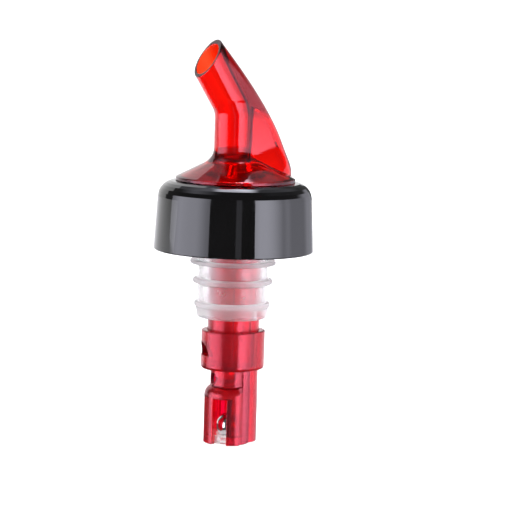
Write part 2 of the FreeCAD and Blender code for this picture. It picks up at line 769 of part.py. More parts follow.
def make_spout():
    """The clear pouring tube with its skirt and hood, bored through and cut off at the mouth."""
    body = new_body("spout")
    skirt = new_sketch(body, "skirt", "XZ_Plane")
    slope = size["skirt_slope"]
    blend = size["skirt_blend"]
    edge_top = collar_top + size["skirt_edge"]
    tube_side = spout_radius + size["bore_offset"]
    blend_start = tube_side + blend * (1.0 - sine(slope))
    blend_foot = edge_top + (size["skirt_radius"] - blend_start) * tangent(slope)
    blend_top = blend_foot + blend * cosine(slope)
    corners = [
        (0, collar_top),
        (size["skirt_radius"], collar_top),
        (size["skirt_radius"], edge_top),
        (blend_start, blend_foot),
        (tube_side, blend_top),
        (0, blend_top),
    ]
    add_outline(skirt, corners, {3: -blend})
    turn_round(body, "Revolution", "skirt_turn", skirt)
    hood_loft(body, "AdditiveLoft", "hood", HOOD_SECTIONS, 0.0)
    hollow = new_sketch(body, "hollow", "XZ_Plane")
    land = size["skirt_radius"] - size["skirt_land"]
    hollow_neck = sleeve_radius + size["bore_offset"] + size["hollow_neck"]
    corners = [(0, collar_top), (land, collar_top), (hollow_neck, hollow_top), (0, hollow_top)]
    add_outline(hollow, corners)
    turn_round(body, "Groove", "skirt_hollow", hollow)
    hollow_sections = [section for section in HOOD_SECTIONS if section[0] in HOOD_HOLLOW_PLACES]
    hood_loft(body, "SubtractiveLoft", "hood_hollow", hollow_sections, size["hood_wall"])
    sleeve = new_sketch(body, "sleeve", "XY_Plane", lift=tube_top)
    add_circle(sleeve, bore_centre, sleeve_radius)
    extrude(body, "Pad", "sleeve_pad", sleeve, hollow_top + size["hood_wall"] / 2 - tube_top)
    pipe(body, "AdditivePipe", "tube", spout_radius)
    pipe(body, "SubtractivePipe", "bore", spout_bore)
    socket = new_sketch(body, "socket", "XY_Plane", lift=tube_top)
    add_circle(socket, bore_centre, socket_radius)
    extrude(body, "Pocket", "socket_cut", socket, seat_top - tube_top)
    mouth = new_sketch(body, "mouth", "XZ_Plane")
    middle = along_spout(size["mouth_reach"])
    rise = size["mouth_rise"]
    block = size["mouth_block"]
    up = (sine(rise) * block, cosine(rise) * block)
    out = (cosine(rise) * block, sine(rise) * block)
    high = (middle[0] + up[0], middle[1] + up[1])
    low = (middle[0] - up[0], middle[1] - up[1])
    corners = [low, high, (high[0] - out[0], high[1] + out[1]), (low[0] - out[0], low[1] + out[1])]
    add_outline(mouth, corners)
    extrude(body, "Pocket", "mouth_cut", mouth, block, both=True)
    vent = new_sketch(body, "vent", "YZ_Plane", lift=spout_radius)
    add_upright_circle(vent, vent_height, size["vent_radius"])
    extrude(body, "Pocket", "vent_cut", vent, size["skirt_radius"])
    return body


drain_edge = size["drain_radius"] - size["bore_offset"]
timing_rest = bore_floor + size["fit_gap"] + leg(size["ball_radius"], drain_edge)
reset_rest = retainer_top + size["fit_gap"] + leg(size["ball_radius"], size["retainer_bore"])

pieces = [
    make_stopper(),
    make_collar(),
    make_measuring_tube(),
    make_metering_ring(),
    make_ball_cage(),
    make_ball_retainer(),
    make_ball_seat(),
    make_ball("timing_ball", bore_centre, timing_rest),
    make_ball("reset_ball", 0, reset_rest),
    make_spout(),
]
doc.recompute()

faults = []
for item in doc.Objects:
    if "Invalid" in item.State or "Error" in item.State:
        faults.append(f"{item.Name} is {item.State}")
for piece in pieces:
    if piece.Shape.isNull() or not piece.Shape.isValid():
        faults.append(f"{piece.Label} has no valid shape")
    elif len(piece.Shape.Solids) != 1:
        faults.append(f"{piece.Label} has {len(piece.Shape.Solids)} solids")
if faults:
    raise SystemExit("\n".join(faults))

os.makedirs("parts", exist_ok=True)
for piece in pieces:
    piece.Shape.exportStep(f"parts/{piece.Label}.step")
    box = piece.Shape.BoundBox
    print(f"{piece.Label}: volume {piece.Shape.Volume:.1f}, z {box.ZMin:.2f} to {box.ZMax:.2f}, "
          f"x {box.XMin:.2f} to {box.XMax:.2f}, y {box.YMin:.2f} to {box.YMax:.2f}")
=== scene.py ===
import math

import bmesh
import bpy
import numpy as np
from mathutils import Matrix, Vector


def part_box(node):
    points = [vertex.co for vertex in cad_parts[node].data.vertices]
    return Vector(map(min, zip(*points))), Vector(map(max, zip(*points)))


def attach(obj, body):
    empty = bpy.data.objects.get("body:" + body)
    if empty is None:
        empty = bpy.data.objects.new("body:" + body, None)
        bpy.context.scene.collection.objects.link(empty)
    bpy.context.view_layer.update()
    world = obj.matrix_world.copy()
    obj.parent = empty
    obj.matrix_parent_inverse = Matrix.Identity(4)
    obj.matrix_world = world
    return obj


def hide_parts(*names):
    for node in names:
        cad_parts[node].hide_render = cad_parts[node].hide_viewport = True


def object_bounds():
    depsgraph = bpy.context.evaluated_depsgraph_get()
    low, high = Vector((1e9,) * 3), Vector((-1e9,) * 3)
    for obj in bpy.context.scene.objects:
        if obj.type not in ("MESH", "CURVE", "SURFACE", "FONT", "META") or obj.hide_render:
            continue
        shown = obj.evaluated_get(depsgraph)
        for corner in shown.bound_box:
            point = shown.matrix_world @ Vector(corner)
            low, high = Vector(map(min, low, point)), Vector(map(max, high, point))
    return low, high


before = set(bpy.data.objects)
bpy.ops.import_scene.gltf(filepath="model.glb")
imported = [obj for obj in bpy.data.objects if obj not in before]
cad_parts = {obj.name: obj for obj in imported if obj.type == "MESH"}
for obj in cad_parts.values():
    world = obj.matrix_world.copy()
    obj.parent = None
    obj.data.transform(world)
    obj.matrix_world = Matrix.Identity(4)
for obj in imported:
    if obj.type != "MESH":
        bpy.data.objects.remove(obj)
cad_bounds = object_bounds()
scene = bpy.context.scene

# The studio: a sheet of pale paper that sweeps up behind the pourer, large soft boxes at its sides, a
# narrow one in front and softer ones overhead. The rest of the room is dark, so the boxes stand out in
# the reflections. The camera looks a little down on the pourer, from beside its spout.
VIEW_TURN = math.radians(-29.0)
VIEW_RISE = math.radians(7.268)
VIEW_ROLL = math.radians(1.704)
VIEW_DISTANCE = 0.66645
VIEW_ASIDE = 0.008883
VIEW_HEIGHT = -0.000257
LENS = 163.0
SENSOR = 36.0

level_right = Vector((math.cos(VIEW_TURN), math.sin(VIEW_TURN), 0))
level_back = Vector((math.sin(VIEW_TURN), -math.cos(VIEW_TURN), 0))
view_back = level_back * math.cos(VIEW_RISE) + Vector((0, 0, math.sin(VIEW_RISE)))
view_up = view_back.cross(level_right)
tilted_right = level_right * math.cos(VIEW_ROLL) + view_up * math.sin(VIEW_ROLL)
tilted_up = view_up * math.cos(VIEW_ROLL) - level_right * math.sin(VIEW_ROLL)
target = level_right * VIEW_ASIDE + Vector((0, 0, VIEW_HEIGHT))
eye = target + view_back * VIEW_DISTANCE

camera_data = bpy.data.cameras.new("camera")
camera_data.sensor_width = SENSOR
camera_data.lens = LENS
camera_data.clip_start = 0.01
camera_data.clip_end = 20
camera = bpy.data.objects.new("camera", camera_data)
turned = Matrix((tilted_right, tilted_up, view_back)).transposed().to_4x4()
camera.matrix_world = Matrix.Translation(eye) @ turned
scene.collection.objects.link(camera)
scene.camera = camera

# The paper ends a little to the pourer's right, and what lies in front of the split doesn't show in
# reflections, so that the plastics keep their dark edges.
PAPER_PALE = 0.34
PAPER_GLOW = 1.04
FLOOR_GAP = 0.0001
FLOOR_FRONT = 2.5
FLOOR_LEFT = 3.0
FLOOR_RIGHT = 0.25
FLOOR_SPLIT = 0.07
SWEEP_DISTANCE = 1.5
SWEEP_RADIUS = 0.7
SWEEP_TOP = 2.2
SWEEP_STEPS = 24
floor_level = cad_bounds[0].z - FLOOR_GAP

paper = bpy.data.materials.new("white_paper")
paper.use_nodes = True
shader = paper.node_tree.nodes["Principled BSDF"]
shader.inputs["Base Color"].default_value = (PAPER_PALE, PAPER_PALE, PAPER_PALE, 1)
shader.inputs["Roughness"].default_value = 0.9
shader.inputs["Emission Color"].default_value = (1, 1, 1, 1)
shader.inputs["Emission Strength"].default_value = PAPER_GLOW


def paper_sheet(name, profile):
    """A sheet of the white paper; the profile holds distances behind the pourer and heights."""
    corners = []
    for run, rise in profile:
        middle = -level_back * run + Vector((0, 0, floor_level + rise))
        corners += [middle - level_right * FLOOR_LEFT, middle + level_right * FLOOR_RIGHT]
    faces = [(i, i + 1, i + 3, i + 2) for i in range(0, len(corners) - 2, 2)]
    sheet = bpy.data.meshes.new(name)
    sheet.from_pydata(corners, [], faces)
    sheet.shade_smooth()
    sheet.materials.append(paper)
    stand = bpy.data.objects.new(name, sheet)
    scene.collection.objects.link(stand)
    return stand


front_floor = paper_sheet("floor", [(-FLOOR_FRONT, 0.0), (FLOOR_SPLIT, 0.0)])
front_floor.visible_glossy = False
sweep = [(FLOOR_SPLIT, 0.0)]
for step in range(SWEEP_STEPS + 1):
    angle = math.pi / 2 * step / SWEEP_STEPS
    sweep.append((SWEEP_DISTANCE + SWEEP_RADIUS * math.sin(angle), SWEEP_RADIUS * (1 - math.cos(angle))))
paper_sheet("backdrop", sweep + [(SWEEP_DISTANCE + SWEEP_RADIUS, SWEEP_TOP)])


def soft_edges(light, left, right, up):
    """Let a soft box fade towards its edges. Left and right each hold the strength that is left at the
    edge and the part of the width that fades; up is the part of the height that fades at either end."""
    light.use_nodes = True
    tree = light.node_tree
    spot = tree.nodes.new("ShaderNodeNewGeometry")
    split = tree.nodes.new("ShaderNodeSeparateXYZ")
    tree.links.new(spot.outputs["Parametric"], split.inputs["Vector"])
    strength = tree.nodes["Emission"].inputs["Strength"]
    fades = (
        ("X", 0.0, left[1], left[0]), ("X", 1.0, 1 - right[1], right[0]),
        ("Y", 0.0, up, 0.0), ("Y", 1.0, 1 - up, 0.0),
    )
    product = None
    for axis, start, end, least in fades:
        fade = tree.nodes.new("ShaderNodeMapRange")
        fade.interpolation_type = "SMOOTHSTEP"
        fade.inputs["From Min"].default_value = start
        fade.inputs["From Max"].default_value = end
        fade.inputs["To Min"].default_value = least
        tree.links.new(split.outputs[axis], fade.inputs["Value"])
        if product is None:
            product = fade.outputs["Result"]
            continue
        both = tree.nodes.new("ShaderNodeMath")
        both.operation = "MULTIPLY"
        tree.links.new(product, both.inputs[0])
        tree.links.new(fade.outputs["Result"], both.inputs[1])
        product = both.outputs[0]
    tree.links.new(product, strength)


BOX_COLOUR = (0.96, 0.96, 1.1)


def add_soft_box(name, turn, rise, distance, width, height, radiance, left, right, up):
    """A soft box that faces the pourer, placed by its turn to the right of the camera and its rise."""
    light = bpy.data.lights.new(name, "AREA")
    light.shape = "RECTANGLE"
    light.size = width
    light.size_y = height
    light.energy = radiance * math.pi * width * height
    light.color = BOX_COLOUR
    soft_edges(light, left, right, up)
    box = bpy.data.objects.new(name, light)
    angle = math.radians(turn)
    lift = math.radians(rise)
    level = level_back * math.cos(angle) + level_right * math.sin(angle)
    toward = level * math.cos(lift) + Vector((0, 0, math.sin(lift)))
    box.location = toward * distance
    box.rotation_mode = "QUATERNION"
    box.rotation_quaternion = toward.to_track_quat("Z", "Y")
    box.visible_camera = False
    scene.collection.objects.link(box)


# Each box has its name, turn, rise, distance, width, height, radiance, and its fades to the left, to the
# right, and up and down.
SOFT_BOXES = [
    ("left_box", -70.0, -2.0, 1.0, 1.4, 0.95, 4.7, (0.4, 0.35), (0.5, 0.35), 0.12),
    ("right_box", 63.0, -2.0, 1.0, 1.25, 0.95, 6.5, (0.85, 0.15), (0.0, 0.75), 0.12),
    ("right_side_box", 115.0, -2.0, 1.0, 1.68, 0.95, 2.1, (0.0, 0.2), (0.0, 0.9), 0.12),
    ("right_rear_box", 140.0, -2.0, 1.0, 0.73, 0.95, 0.6, (0.0, 0.4), (0.0, 0.1), 0.12),
    ("strip_light", 7.7, -2.0, 1.0, 0.17, 0.95, 0.5, (0.0, 0.15), (0.0, 0.15), 0.12),
    ("top_box", 0.0, 115.0, 1.2, 2.4, 1.7, 0.3, (0.0, 0.3), (0.0, 0.3), 0.3),
    ("top_spot", 0.0, 111.0, 1.1, 0.6, 0.5, 44.0, (0.0, 0.45), (0.0, 0.45), 0.45),
    ("high_left_box", -105.0, 62.0, 1.1, 1.0, 0.9, 1.0, (0.0, 0.4), (0.0, 0.4), 0.4),
]
for soft_box in SOFT_BOXES:
    add_soft_box(*soft_box)

ROOM_GLOW = 0.12
BACKDROP_GLOW = 1.3
CLEAR_BOUNCES = 24
GLOSS_BOUNCES = 8
MILK_BOUNCES = 8


def build_room():
    """The room: white where the eye sees it, past the pourer or through it, and dark in reflections."""
    room = bpy.data.worlds.new("studio")
    room.use_nodes = True
    tree = room.node_tree
    glow = tree.nodes["Background"]
    glow.inputs["Color"].default_value = (1, 1, 1, 1)
    path = tree.nodes.new("ShaderNodeLightPath")
    seen = tree.nodes.new("ShaderNodeMath")
    seen.operation = "MAXIMUM"
    tree.links.new(path.outputs["Is Camera Ray"], seen.inputs[0])
    tree.links.new(path.outputs["Is Transmission Ray"], seen.inputs[1])
    spread = tree.nodes.new("ShaderNodeMapRange")
    spread.inputs["To Min"].default_value = ROOM_GLOW
    spread.inputs["To Max"].default_value = BACKDROP_GLOW
    tree.links.new(seen.outputs[0], spread.inputs["Value"])
    tree.links.new(spread.outputs["Result"], glow.inputs["Strength"])
    scene.world = room


build_room()
scene.view_settings.view_transform = "Standard"
scene.cycles.max_bounces = CLEAR_BOUNCES
scene.cycles.transmission_bounces = CLEAR_BOUNCES
scene.cycles.glossy_bounces = GLOSS_BOUNCES
scene.cycles.volume_bounces = MILK_BOUNCES
scene.cycles.caustics_refractive = True


# The spout: one clear red moulding with the bent pouring tube, the hollow hood behind it and the skirt
# under it. It is moulded in tinted styrene with polished walls, and its socket is pressed over the
# spigot of the measuring tube.
MM = 0.001
TUBE_X = -0.95
SPOUT_RADIUS = 5.15
SPOUT_BORE = 4.25
COLLAR_TOP = 22.9
SPOUT_FOOT = COLLAR_TOP + 0.02
KINK_HEIGHT = 42.86
TILT = math.radians(32.4)
BEND_RADIUS = 9.5
BEND_FOOT = KINK_HEIGHT - BEND_RADIUS * math.tan(TILT / 2)
MOUTH_REACH = 16.27
MOUTH_RISE = math.radians(30.6)
RIM_EDGE = 0.18
SKIRT_RADIUS = 16.6
SKIRT_EDGE_TOP = COLLAR_TOP + 1.0
SKIRT_SLOPE = math.radians(27.0)
SKIRT_BLEND = 5.5
CREASE_FILLET = 0.7
SOCKET_RADIUS = 4.55
SEAT_TOP = 32.2
SLEEVE_RADIUS = 5.5
SLEEVE_FOOT = 24.4
SLEEVE_TOP = 28.83
HOLLOW_LAND = 14.6
HOLLOW_NECK = 6.6
HOLLOW_TOP = 28.3
HOOD_WALL = 1.05
HOOD_HOLLOW_TOP = 43.4
HOOD_HOLLOW_ROUND = 3.4
VENT_HEIGHT = 33.0
VENT_RADIUS = 0.8
VENT_REACH = 1.5
VENT_STEPS = 48
HOOD_HEIGHTS = (22.9, 26.7, 30.5, 35.5, 42.0, 52.0, 62.5)
HOOD_BACKS = (16.35, 16.3, 15.0, 12.85, 9.1, 1.8, -7.06)
HOOD_ROUNDINGS = (9.0, 8.0, 5.6, 4.4, 4.3, 4.3, 4.0)

# A solid that cuts a piece or is joined to it runs on this far past the face that it works on.
OVER = 1.0

# The spout's level sections are drawn on rays from the tube's centre, which stand closer together
# towards the hood. Each is worked out from how far it reaches in many facings. A circle about the
# collar's axis has to go round the tube's centre.
RAYS = 288
RAY_CROWDING = 0.45
FACINGS = 720
LEAST_LEAN = 0.05
LEAST_CIRCLE = -TUBE_X * 1.01
turns = np.arange(RAYS) / RAYS * 2 * math.pi
turns = turns - RAY_CROWDING * np.sin(turns)
facings = np.linspace(-math.pi, math.pi, FACINGS, endpoint=False)


def smooth_line(places, values):
    """A smooth curve through the values at the given places, as a function of the place."""
    gaps = np.diff(places)
    rises = np.diff(values) / gaps
    count = len(places)
    matrix = np.eye(count)
    side = np.zeros(count)
    for i in range(1, count - 1):
        matrix[i, i - 1:i + 2] = gaps[i - 1], 2 * (gaps[i - 1] + gaps[i]), gaps[i]
        side[i] = 6 * (rises[i] - rises[i - 1])
    bends = np.linalg.solve(matrix, side)

    def value(place):
        i = int(np.clip(np.searchsorted(places, place) - 1, 0, count - 2))
        gap = gaps[i]
        before = place - places[i]
        after = places[i + 1] - place
        curve = (bends[i] * after ** 3 + bends[i + 1] * before ** 3) / (6 * gap)
        start = values[i] / gap - bends[i] * gap / 6
        end = values[i + 1] / gap - bends[i + 1] * gap / 6
        return curve + start * after + end * before

    return value


hood_back = smooth_line(HOOD_HEIGHTS, HOOD_BACKS)
hood_rounding = smooth_line(HOOD_HEIGHTS, HOOD_ROUNDINGS)


def tube_x(height, behind):
    """Where a line that keeps this far behind the tube's centre line crosses a height."""
    radius = BEND_RADIUS + behind
    rise = height - BEND_FOOT
    bend_top = radius * math.sin(TILT)
    on_bend = np.sqrt(radius ** 2 - np.clip(rise, 0, bend_top) ** 2)
    beyond = np.maximum(rise - bend_top, 0) * math.tan(TILT)
    return TUBE_X - BEND_RADIUS + on_bend - beyond


def section_reach(height, radius, back=None, rounding=None):
    """How far a level section of the tube, and of a hood behind it, reaches along each ray."""
    centre = tube_x(height, 0.0)
    if height <= BEND_FOOT:
        support = np.full(len(facings), radius)
    else:
        behind = radius * np.cos(facings)
        out = np.outer(np.cos(facings), tube_x(height, behind) - centre)
        support = (out + np.outer(np.sin(facings), radius * np.sin(facings))).max(axis=1)
    if back is not None:
        support = np.maximum(support, (back - rounding - centre) * np.cos(facings) + rounding)
    lean = np.cos(turns[:, None] - facings[None, :])
    reach = support[None, :] / np.maximum(lean, LEAST_LEAN)
    return np.where(lean > LEAST_LEAN, reach, np.inf).min(axis=1)


def circle_reach(radius):
    """How far a circle about the collar's axis reaches from the tube's centre along each ray."""
    return -TUBE_X * np.cos(turns) + np.sqrt(radius ** 2 - (TUBE_X * np.sin(turns)) ** 2)


def blended(one, other, fillet):
    """The larger of two reaches, with a fillet where they cross."""
    if fillet <= 0:
        return np.maximum(one, other)
    near = np.maximum(fillet - np.abs(one - other), 0) / fillet
    return np.maximum(one, other) + near ** 2 * fillet / 4


def skirt_reach(height):
    """How far the skirt, with its blend into the tube, reaches along each ray."""
    blend_end = SPOUT_RADIUS + SKIRT_BLEND * (1 - math.sin(SKIRT_SLOPE))
    end_x = TUBE_X + blend_end * np.cos(turns)
    end_y = blend_end * np.sin(turns)
    low = SKIRT_EDGE_TOP + (SKIRT_RADIUS - np.hypot(end_x, end_y)) * math.tan(SKIRT_SLOPE)
    high = low + SKIRT_BLEND * math.cos(SKIRT_SLOPE)
    drop = np.clip(high - height, 0, SKIRT_BLEND)
    arc = SPOUT_RADIUS + SKIRT_BLEND - np.sqrt(SKIRT_BLEND ** 2 - drop ** 2)
    radius = SKIRT_RADIUS - max(height - SKIRT_EDGE_TOP, 0) / math.tan(SKIRT_SLOPE)
    cone = circle_reach(max(radius, LEAST_CIRCLE))
    return np.where(height < low, cone, arc)


def row_at(height, reach):
    """The points of a level section on the rays from the tube's centre."""
    across = tube_x(height, 0.0) + reach * np.cos(turns)
    return np.stack([across, reach * np.sin(turns), np.full(RAYS, float(height))], axis=1)


def corner_arc(corner, before, after, rounding, steps):
    """The points of the arc that rounds a corner between its two neighbours."""
    into = before - corner
    out = after - corner
    into /= np.linalg.norm(into)
    out /= np.linalg.norm(out)
    half = math.acos(float(np.clip(into @ out, -1, 1))) / 2
    middle = into + out
    middle /= np.linalg.norm(middle)
    centre = corner + middle * rounding / math.sin(half)
    start = corner + into * rounding / math.tan(half) - centre
    end = corner + out * rounding / math.tan(half) - centre
    sweep = math.pi - 2 * half
    points = []
    for step in range(steps + 1):
        t = step / steps
        turn = (math.sin((1 - t) * sweep) * start + math.sin(t * sweep) * end) / math.sin(sweep)
        points.append(centre + turn)
    return points


LONG_RUN = 0.5
SUPPORT_GAP = 0.07


def supported(points, closed):
    """An outline with a point near each end of its long runs, so that smooth shading leaves them flat."""
    result = []
    runs = len(points) if closed else len(points) - 1
    for i in range(runs):
        here = points[i]
        gone = points[(i + 1) % len(points)] - here
        length = np.linalg.norm(gone)
        result.append(here)
        if length > LONG_RUN:
            share = SUPPORT_GAP / length
            result += [here + gone * share, here + gone * (1 - share)]
    if not closed:
        result.append(points[-1])
    return result


def rounded(corners, steps=6, closed=False):
    """An outline through (radius, height, rounding) corners, with arcs at the rounded ones."""
    places = [np.array(corner[:2], float) for corner in corners]
    count = len(corners)
    points = []
    for i, rounding in enumerate(corner[2] for corner in corners):
        if rounding <= 0 or (not closed and i in (0, count - 1)):
            points.append(places[i])
        else:
            points += corner_arc(places[i], places[i - 1], places[(i + 1) % count], rounding, steps)
    return supported(points, closed)


def new_piece(name, mesh):
    """A new object in the scene for a mesh."""
    piece = bpy.data.objects.new(name, mesh)
    scene.collection.objects.link(piece)
    return piece


def skin(name, rows, ring=False):
    """A closed solid over rows of points in millimetres; its rows meet end to end, or it has flat ends."""
    rows = np.asarray(rows, float) * MM
    levels, across = rows.shape[:2]
    at = np.arange(levels * across).reshape(levels, across)
    low = at if ring else at[:-1]
    high = np.roll(at, -1, axis=0) if ring else at[1:]
    quads = np.stack([low, np.roll(low, -1, axis=1), np.roll(high, -1, axis=1), high], axis=-1)
    faces = quads.reshape(-1, 4).tolist()
    if not ring:
        faces += [at[0][::-1].tolist(), at[-1].tolist()]
    mesh = bpy.data.meshes.new(name)
    mesh.from_pydata(rows.reshape(-1, 3).tolist(), [], faces)
    face_out(mesh)
    return new_piece(name, mesh)


def face_out(mesh):
    """Turn every face of a closed mesh outwards."""
    built = bmesh.new()
    built.from_mesh(mesh)
    bmesh.ops.recalc_face_normals(built, faces=built.faces)
    built.to_mesh(mesh)
    built.free()


def make_plain(piece):
    """The piece with its modifiers worked into its mesh."""
    bpy.context.view_layer.update()
    done = piece.evaluated_get(bpy.context.evaluated_depsgraph_get())
    mesh = bpy.data.meshes.new_from_object(done)
    piece.modifiers.clear()
    piece.data = mesh


def fit_solid(piece, tool, operation):
    """Cut a tool's solid out of a piece, or join it on; the tool is used up."""
    cut = piece.modifiers.new(operation.lower(), "BOOLEAN")
    cut.solver = "MANIFOLD"
    cut.operation = operation
    cut.object = tool
    make_plain(piece)
    bpy.data.objects.remove(tool)


def finish_piece(piece, material, crease=30.0):
    """Give a piece its one material and smooth shading, with edges over the crease angle left sharp."""
    mesh = piece.data
    mesh.materials.clear()
    mesh.materials.append(material)
    mesh.polygons.foreach_set("material_index", [0] * len(mesh.polygons))
    mesh.shade_smooth()
    mesh.set_sharp_from_angle(angle=math.radians(crease))


def hood_section(height):
    """The level section of the tube and the hood's outside."""
    return section_reach(height, SPOUT_RADIUS, hood_back(height), hood_rounding(height))


SKIRT_FOOT_ROUND = 0.2
SKIRT_EDGE_ROUND = 0.35
SLOPE_START = 1.2
FILLET_RISE = 2.0
SKIRT_STEP = 0.14
SKIRT_TOP = 33.4
LOWER_FOOT = 33.6
LOWER_STEP = 0.38
LOWER_TOP = 45.0
UPPER_TOP = 64.6
UPPER_STEP = 0.25
UPPER_ROWS = 36
upper_heights = np.arange(LOWER_TOP, UPPER_TOP, UPPER_STEP)


def skirt_rows():
    """The rows from the skirt's foot up over its edge and slope, and on up the hood's lower stretch."""
    edge = rounded([
        (SKIRT_RADIUS - OVER, SPOUT_FOOT, 0), (SKIRT_RADIUS, SPOUT_FOOT, SKIRT_FOOT_ROUND),
        (SKIRT_RADIUS, SKIRT_EDGE_TOP, SKIRT_EDGE_ROUND),
        (SKIRT_RADIUS - SLOPE_START, SKIRT_EDGE_TOP + SLOPE_START * math.tan(SKIRT_SLOPE), 0),
    ])
    rows = [row_at(z, blended(hood_section(z), circle_reach(r), 0)) for r, z in edge[2:]]
    heights = list(np.arange(edge[-1][1] + SKIRT_STEP, SKIRT_TOP, SKIRT_STEP))
    heights += list(np.arange(LOWER_FOOT, LOWER_TOP + LOWER_STEP / 2, LOWER_STEP))
    for z in heights:
        fillet = CREASE_FILLET * min(1.0, (z - SKIRT_EDGE_TOP) / FILLET_RISE)
        rows.append(row_at(z, blended(hood_section(z), skirt_reach(z), fillet)))
    return rows


# The slanted mouth has its middle on the tube's tilted centre line.
along_tube = np.array((-math.sin(TILT), 0, math.cos(TILT)))
behind_tube = np.array((math.cos(TILT), 0, math.sin(TILT)))
aside = np.array((0.0, 1.0, 0.0))
mouth_middle = np.array((TUBE_X, 0, KINK_HEIGHT)) + along_tube * MOUTH_REACH
mouth_up = np.array((math.sin(MOUTH_RISE), 0, math.cos(MOUTH_RISE)))
mouth_out = np.array((-math.cos(MOUTH_RISE), 0, math.sin(MOUTH_RISE)))


def wall_at(walls, levels):
    """The points of the upper wall, each at its own ray's level."""
    points = np.empty((RAYS, 3))
    for i in range(RAYS):
        for k in range(3):
            points[i, k] = np.interp(levels[i], upper_heights, walls[:, i, k])
    return points


def mouth_rows():
    """The rows on up to the slanted mouth and over its rim, and the bore's edge in the mouth."""
    walls = np.array([row_at(z, hood_section(z)) for z in upper_heights])
    past = (walls - mouth_middle) @ mouth_out
    rims = np.array([np.interp(0.0, past[:, i], upper_heights) for i in range(RAYS)])
    starts = np.array([np.interp(-RIM_EDGE, past[:, i], upper_heights) for i in range(RAYS)])
    rows = []
    for step in range(1, UPPER_ROWS + 1):
        rows.append(wall_at(walls, LOWER_TOP + (starts - LOWER_TOP) * step / UPPER_ROWS))
    corner = wall_at(walls, rims)
    bearing = np.arctan2((corner - mouth_middle) @ aside, (corner - mouth_middle) @ mouth_up)
    stretch = math.sin(TILT + MOUTH_RISE)
    radius = SPOUT_BORE / np.sqrt((np.cos(bearing) * stretch) ** 2 + np.sin(bearing) ** 2)
    outward = np.outer(np.cos(bearing), mouth_up) + np.outer(np.sin(bearing), aside)
    hole = mouth_middle + radius[:, None] * outward
    inward = hole - corner
    inward /= np.linalg.norm(inward, axis=1)[:, None]
    rows += curved(rows[-1], corner, corner + inward * RIM_EDGE)
    rows.append(hole - inward * RIM_EDGE)
    rows += curved(rows[-1], hole, hole - along_tube * RIM_EDGE)
    return rows, hole


TILTED_ROWS = 14
BEND_ROWS = 20
STRAIGHT_ROWS = 10
SOCKET_DROPS = (0.0, 3.0, 6.0, SEAT_TOP - SPOUT_FOOT)


def bore_rows(top, hole):
    """The rows from the mouth down the bore, round its bend and down the socket to the foot."""
    level = (hole - mouth_middle) @ behind_tube
    side = (hole - mouth_middle) @ aside

    def bore_row(angle, drop, widen=1.0):
        reach = BEND_RADIUS + level * widen
        x = TUBE_X - BEND_RADIUS + reach * math.cos(angle)
        z = BEND_FOOT + reach * math.sin(angle) - drop
        return np.stack([x, side * widen, z], axis=1)

    bend_end = bore_row(TILT, 0.0)
    rows = [top + (bend_end - top) * step / TILTED_ROWS for step in range(1, TILTED_ROWS)]
    rows += [bore_row(TILT * (1 - step / BEND_ROWS), 0.0) for step in range(BEND_ROWS + 1)]
    fall = BEND_FOOT - SEAT_TOP
    rows += [bore_row(0.0, fall * step / STRAIGHT_ROWS) for step in range(1, STRAIGHT_ROWS + 1)]
    widen = SOCKET_RADIUS / SPOUT_BORE
    rows += [bore_row(0.0, fall + drop, widen) for drop in SOCKET_DROPS]
    return rows


def curved(start, corner, end, steps=4):
    """Rows that round a corner between two rows."""
    rows = []
    for step in range(1, steps + 1):
        t = step / steps
        rows.append(start * (1 - t) ** 2 + corner * (2 * t * (1 - t)) + end * t ** 2)
    return rows


HOLLOW_START = 0.3
HOLLOW_STEP = 0.2
HOLLOW_SHELF = 0.02
HOLLOW_FILLET = 0.3
HOOD_STEP = 0.3
ROUND_STEPS = 12


def hollow_rows():
    """The room inside the skirt and the hood, from below the foot to its rounded top."""
    rows = []
    heights = [COLLAR_TOP - OVER, COLLAR_TOP]
    heights += list(np.arange(COLLAR_TOP + HOLLOW_START, HOLLOW_TOP, HOLLOW_STEP))
    for z in heights:
        fall = (HOLLOW_LAND - HOLLOW_NECK) * max(z - COLLAR_TOP, 0) / (HOLLOW_TOP - COLLAR_TOP)
        rows.append((z, circle_reach(HOLLOW_LAND - fall), 0.0))
    round_foot = HOOD_HOLLOW_TOP - HOOD_HOLLOW_ROUND
    rows.append((HOLLOW_TOP, circle_reach(HOLLOW_NECK), 0.0))
    rows += [(z, 0.0, 0.0) for z in np.arange(HOLLOW_TOP + HOLLOW_SHELF, round_foot, HOOD_STEP)]
    for step in range(ROUND_STEPS + 1):
        angle = math.pi / 2 * step / ROUND_STEPS
        drawn = HOOD_HOLLOW_ROUND * (1 - math.cos(angle))
        rows.append((round_foot + HOOD_HOLLOW_ROUND * math.sin(angle), 0.0, drawn))
    made = []
    for z, cone, drawn in rows:
        back = hood_back(z) - HOOD_WALL - drawn
        rounding = hood_rounding(z) - HOOD_WALL - drawn / 2
        hood = section_reach(z, SPOUT_RADIUS - HOOD_WALL - drawn, back, rounding)
        made.append(row_at(z, blended(hood, np.broadcast_to(cone, hood.shape), HOLLOW_FILLET)))
    return made


SLEEVE_MIDDLE = 26.0
SLEEVE_EDGE = 0.15
CORE_STEP = 0.4


def core_rows():
    """The sleeve and the pouring tube as they stand in that room."""
    rows = [(z, SLEEVE_RADIUS) for z in (SLEEVE_FOOT, SLEEVE_MIDDLE, SLEEVE_TOP - SLEEVE_EDGE)]
    rows += [(SLEEVE_TOP, SPOUT_RADIUS)]
    rows += [(z, SPOUT_RADIUS) for z in np.arange(SLEEVE_TOP + CORE_STEP, LOWER_TOP, CORE_STEP)]
    return [row_at(z, section_reach(z, radius)) for z, radius in rows]


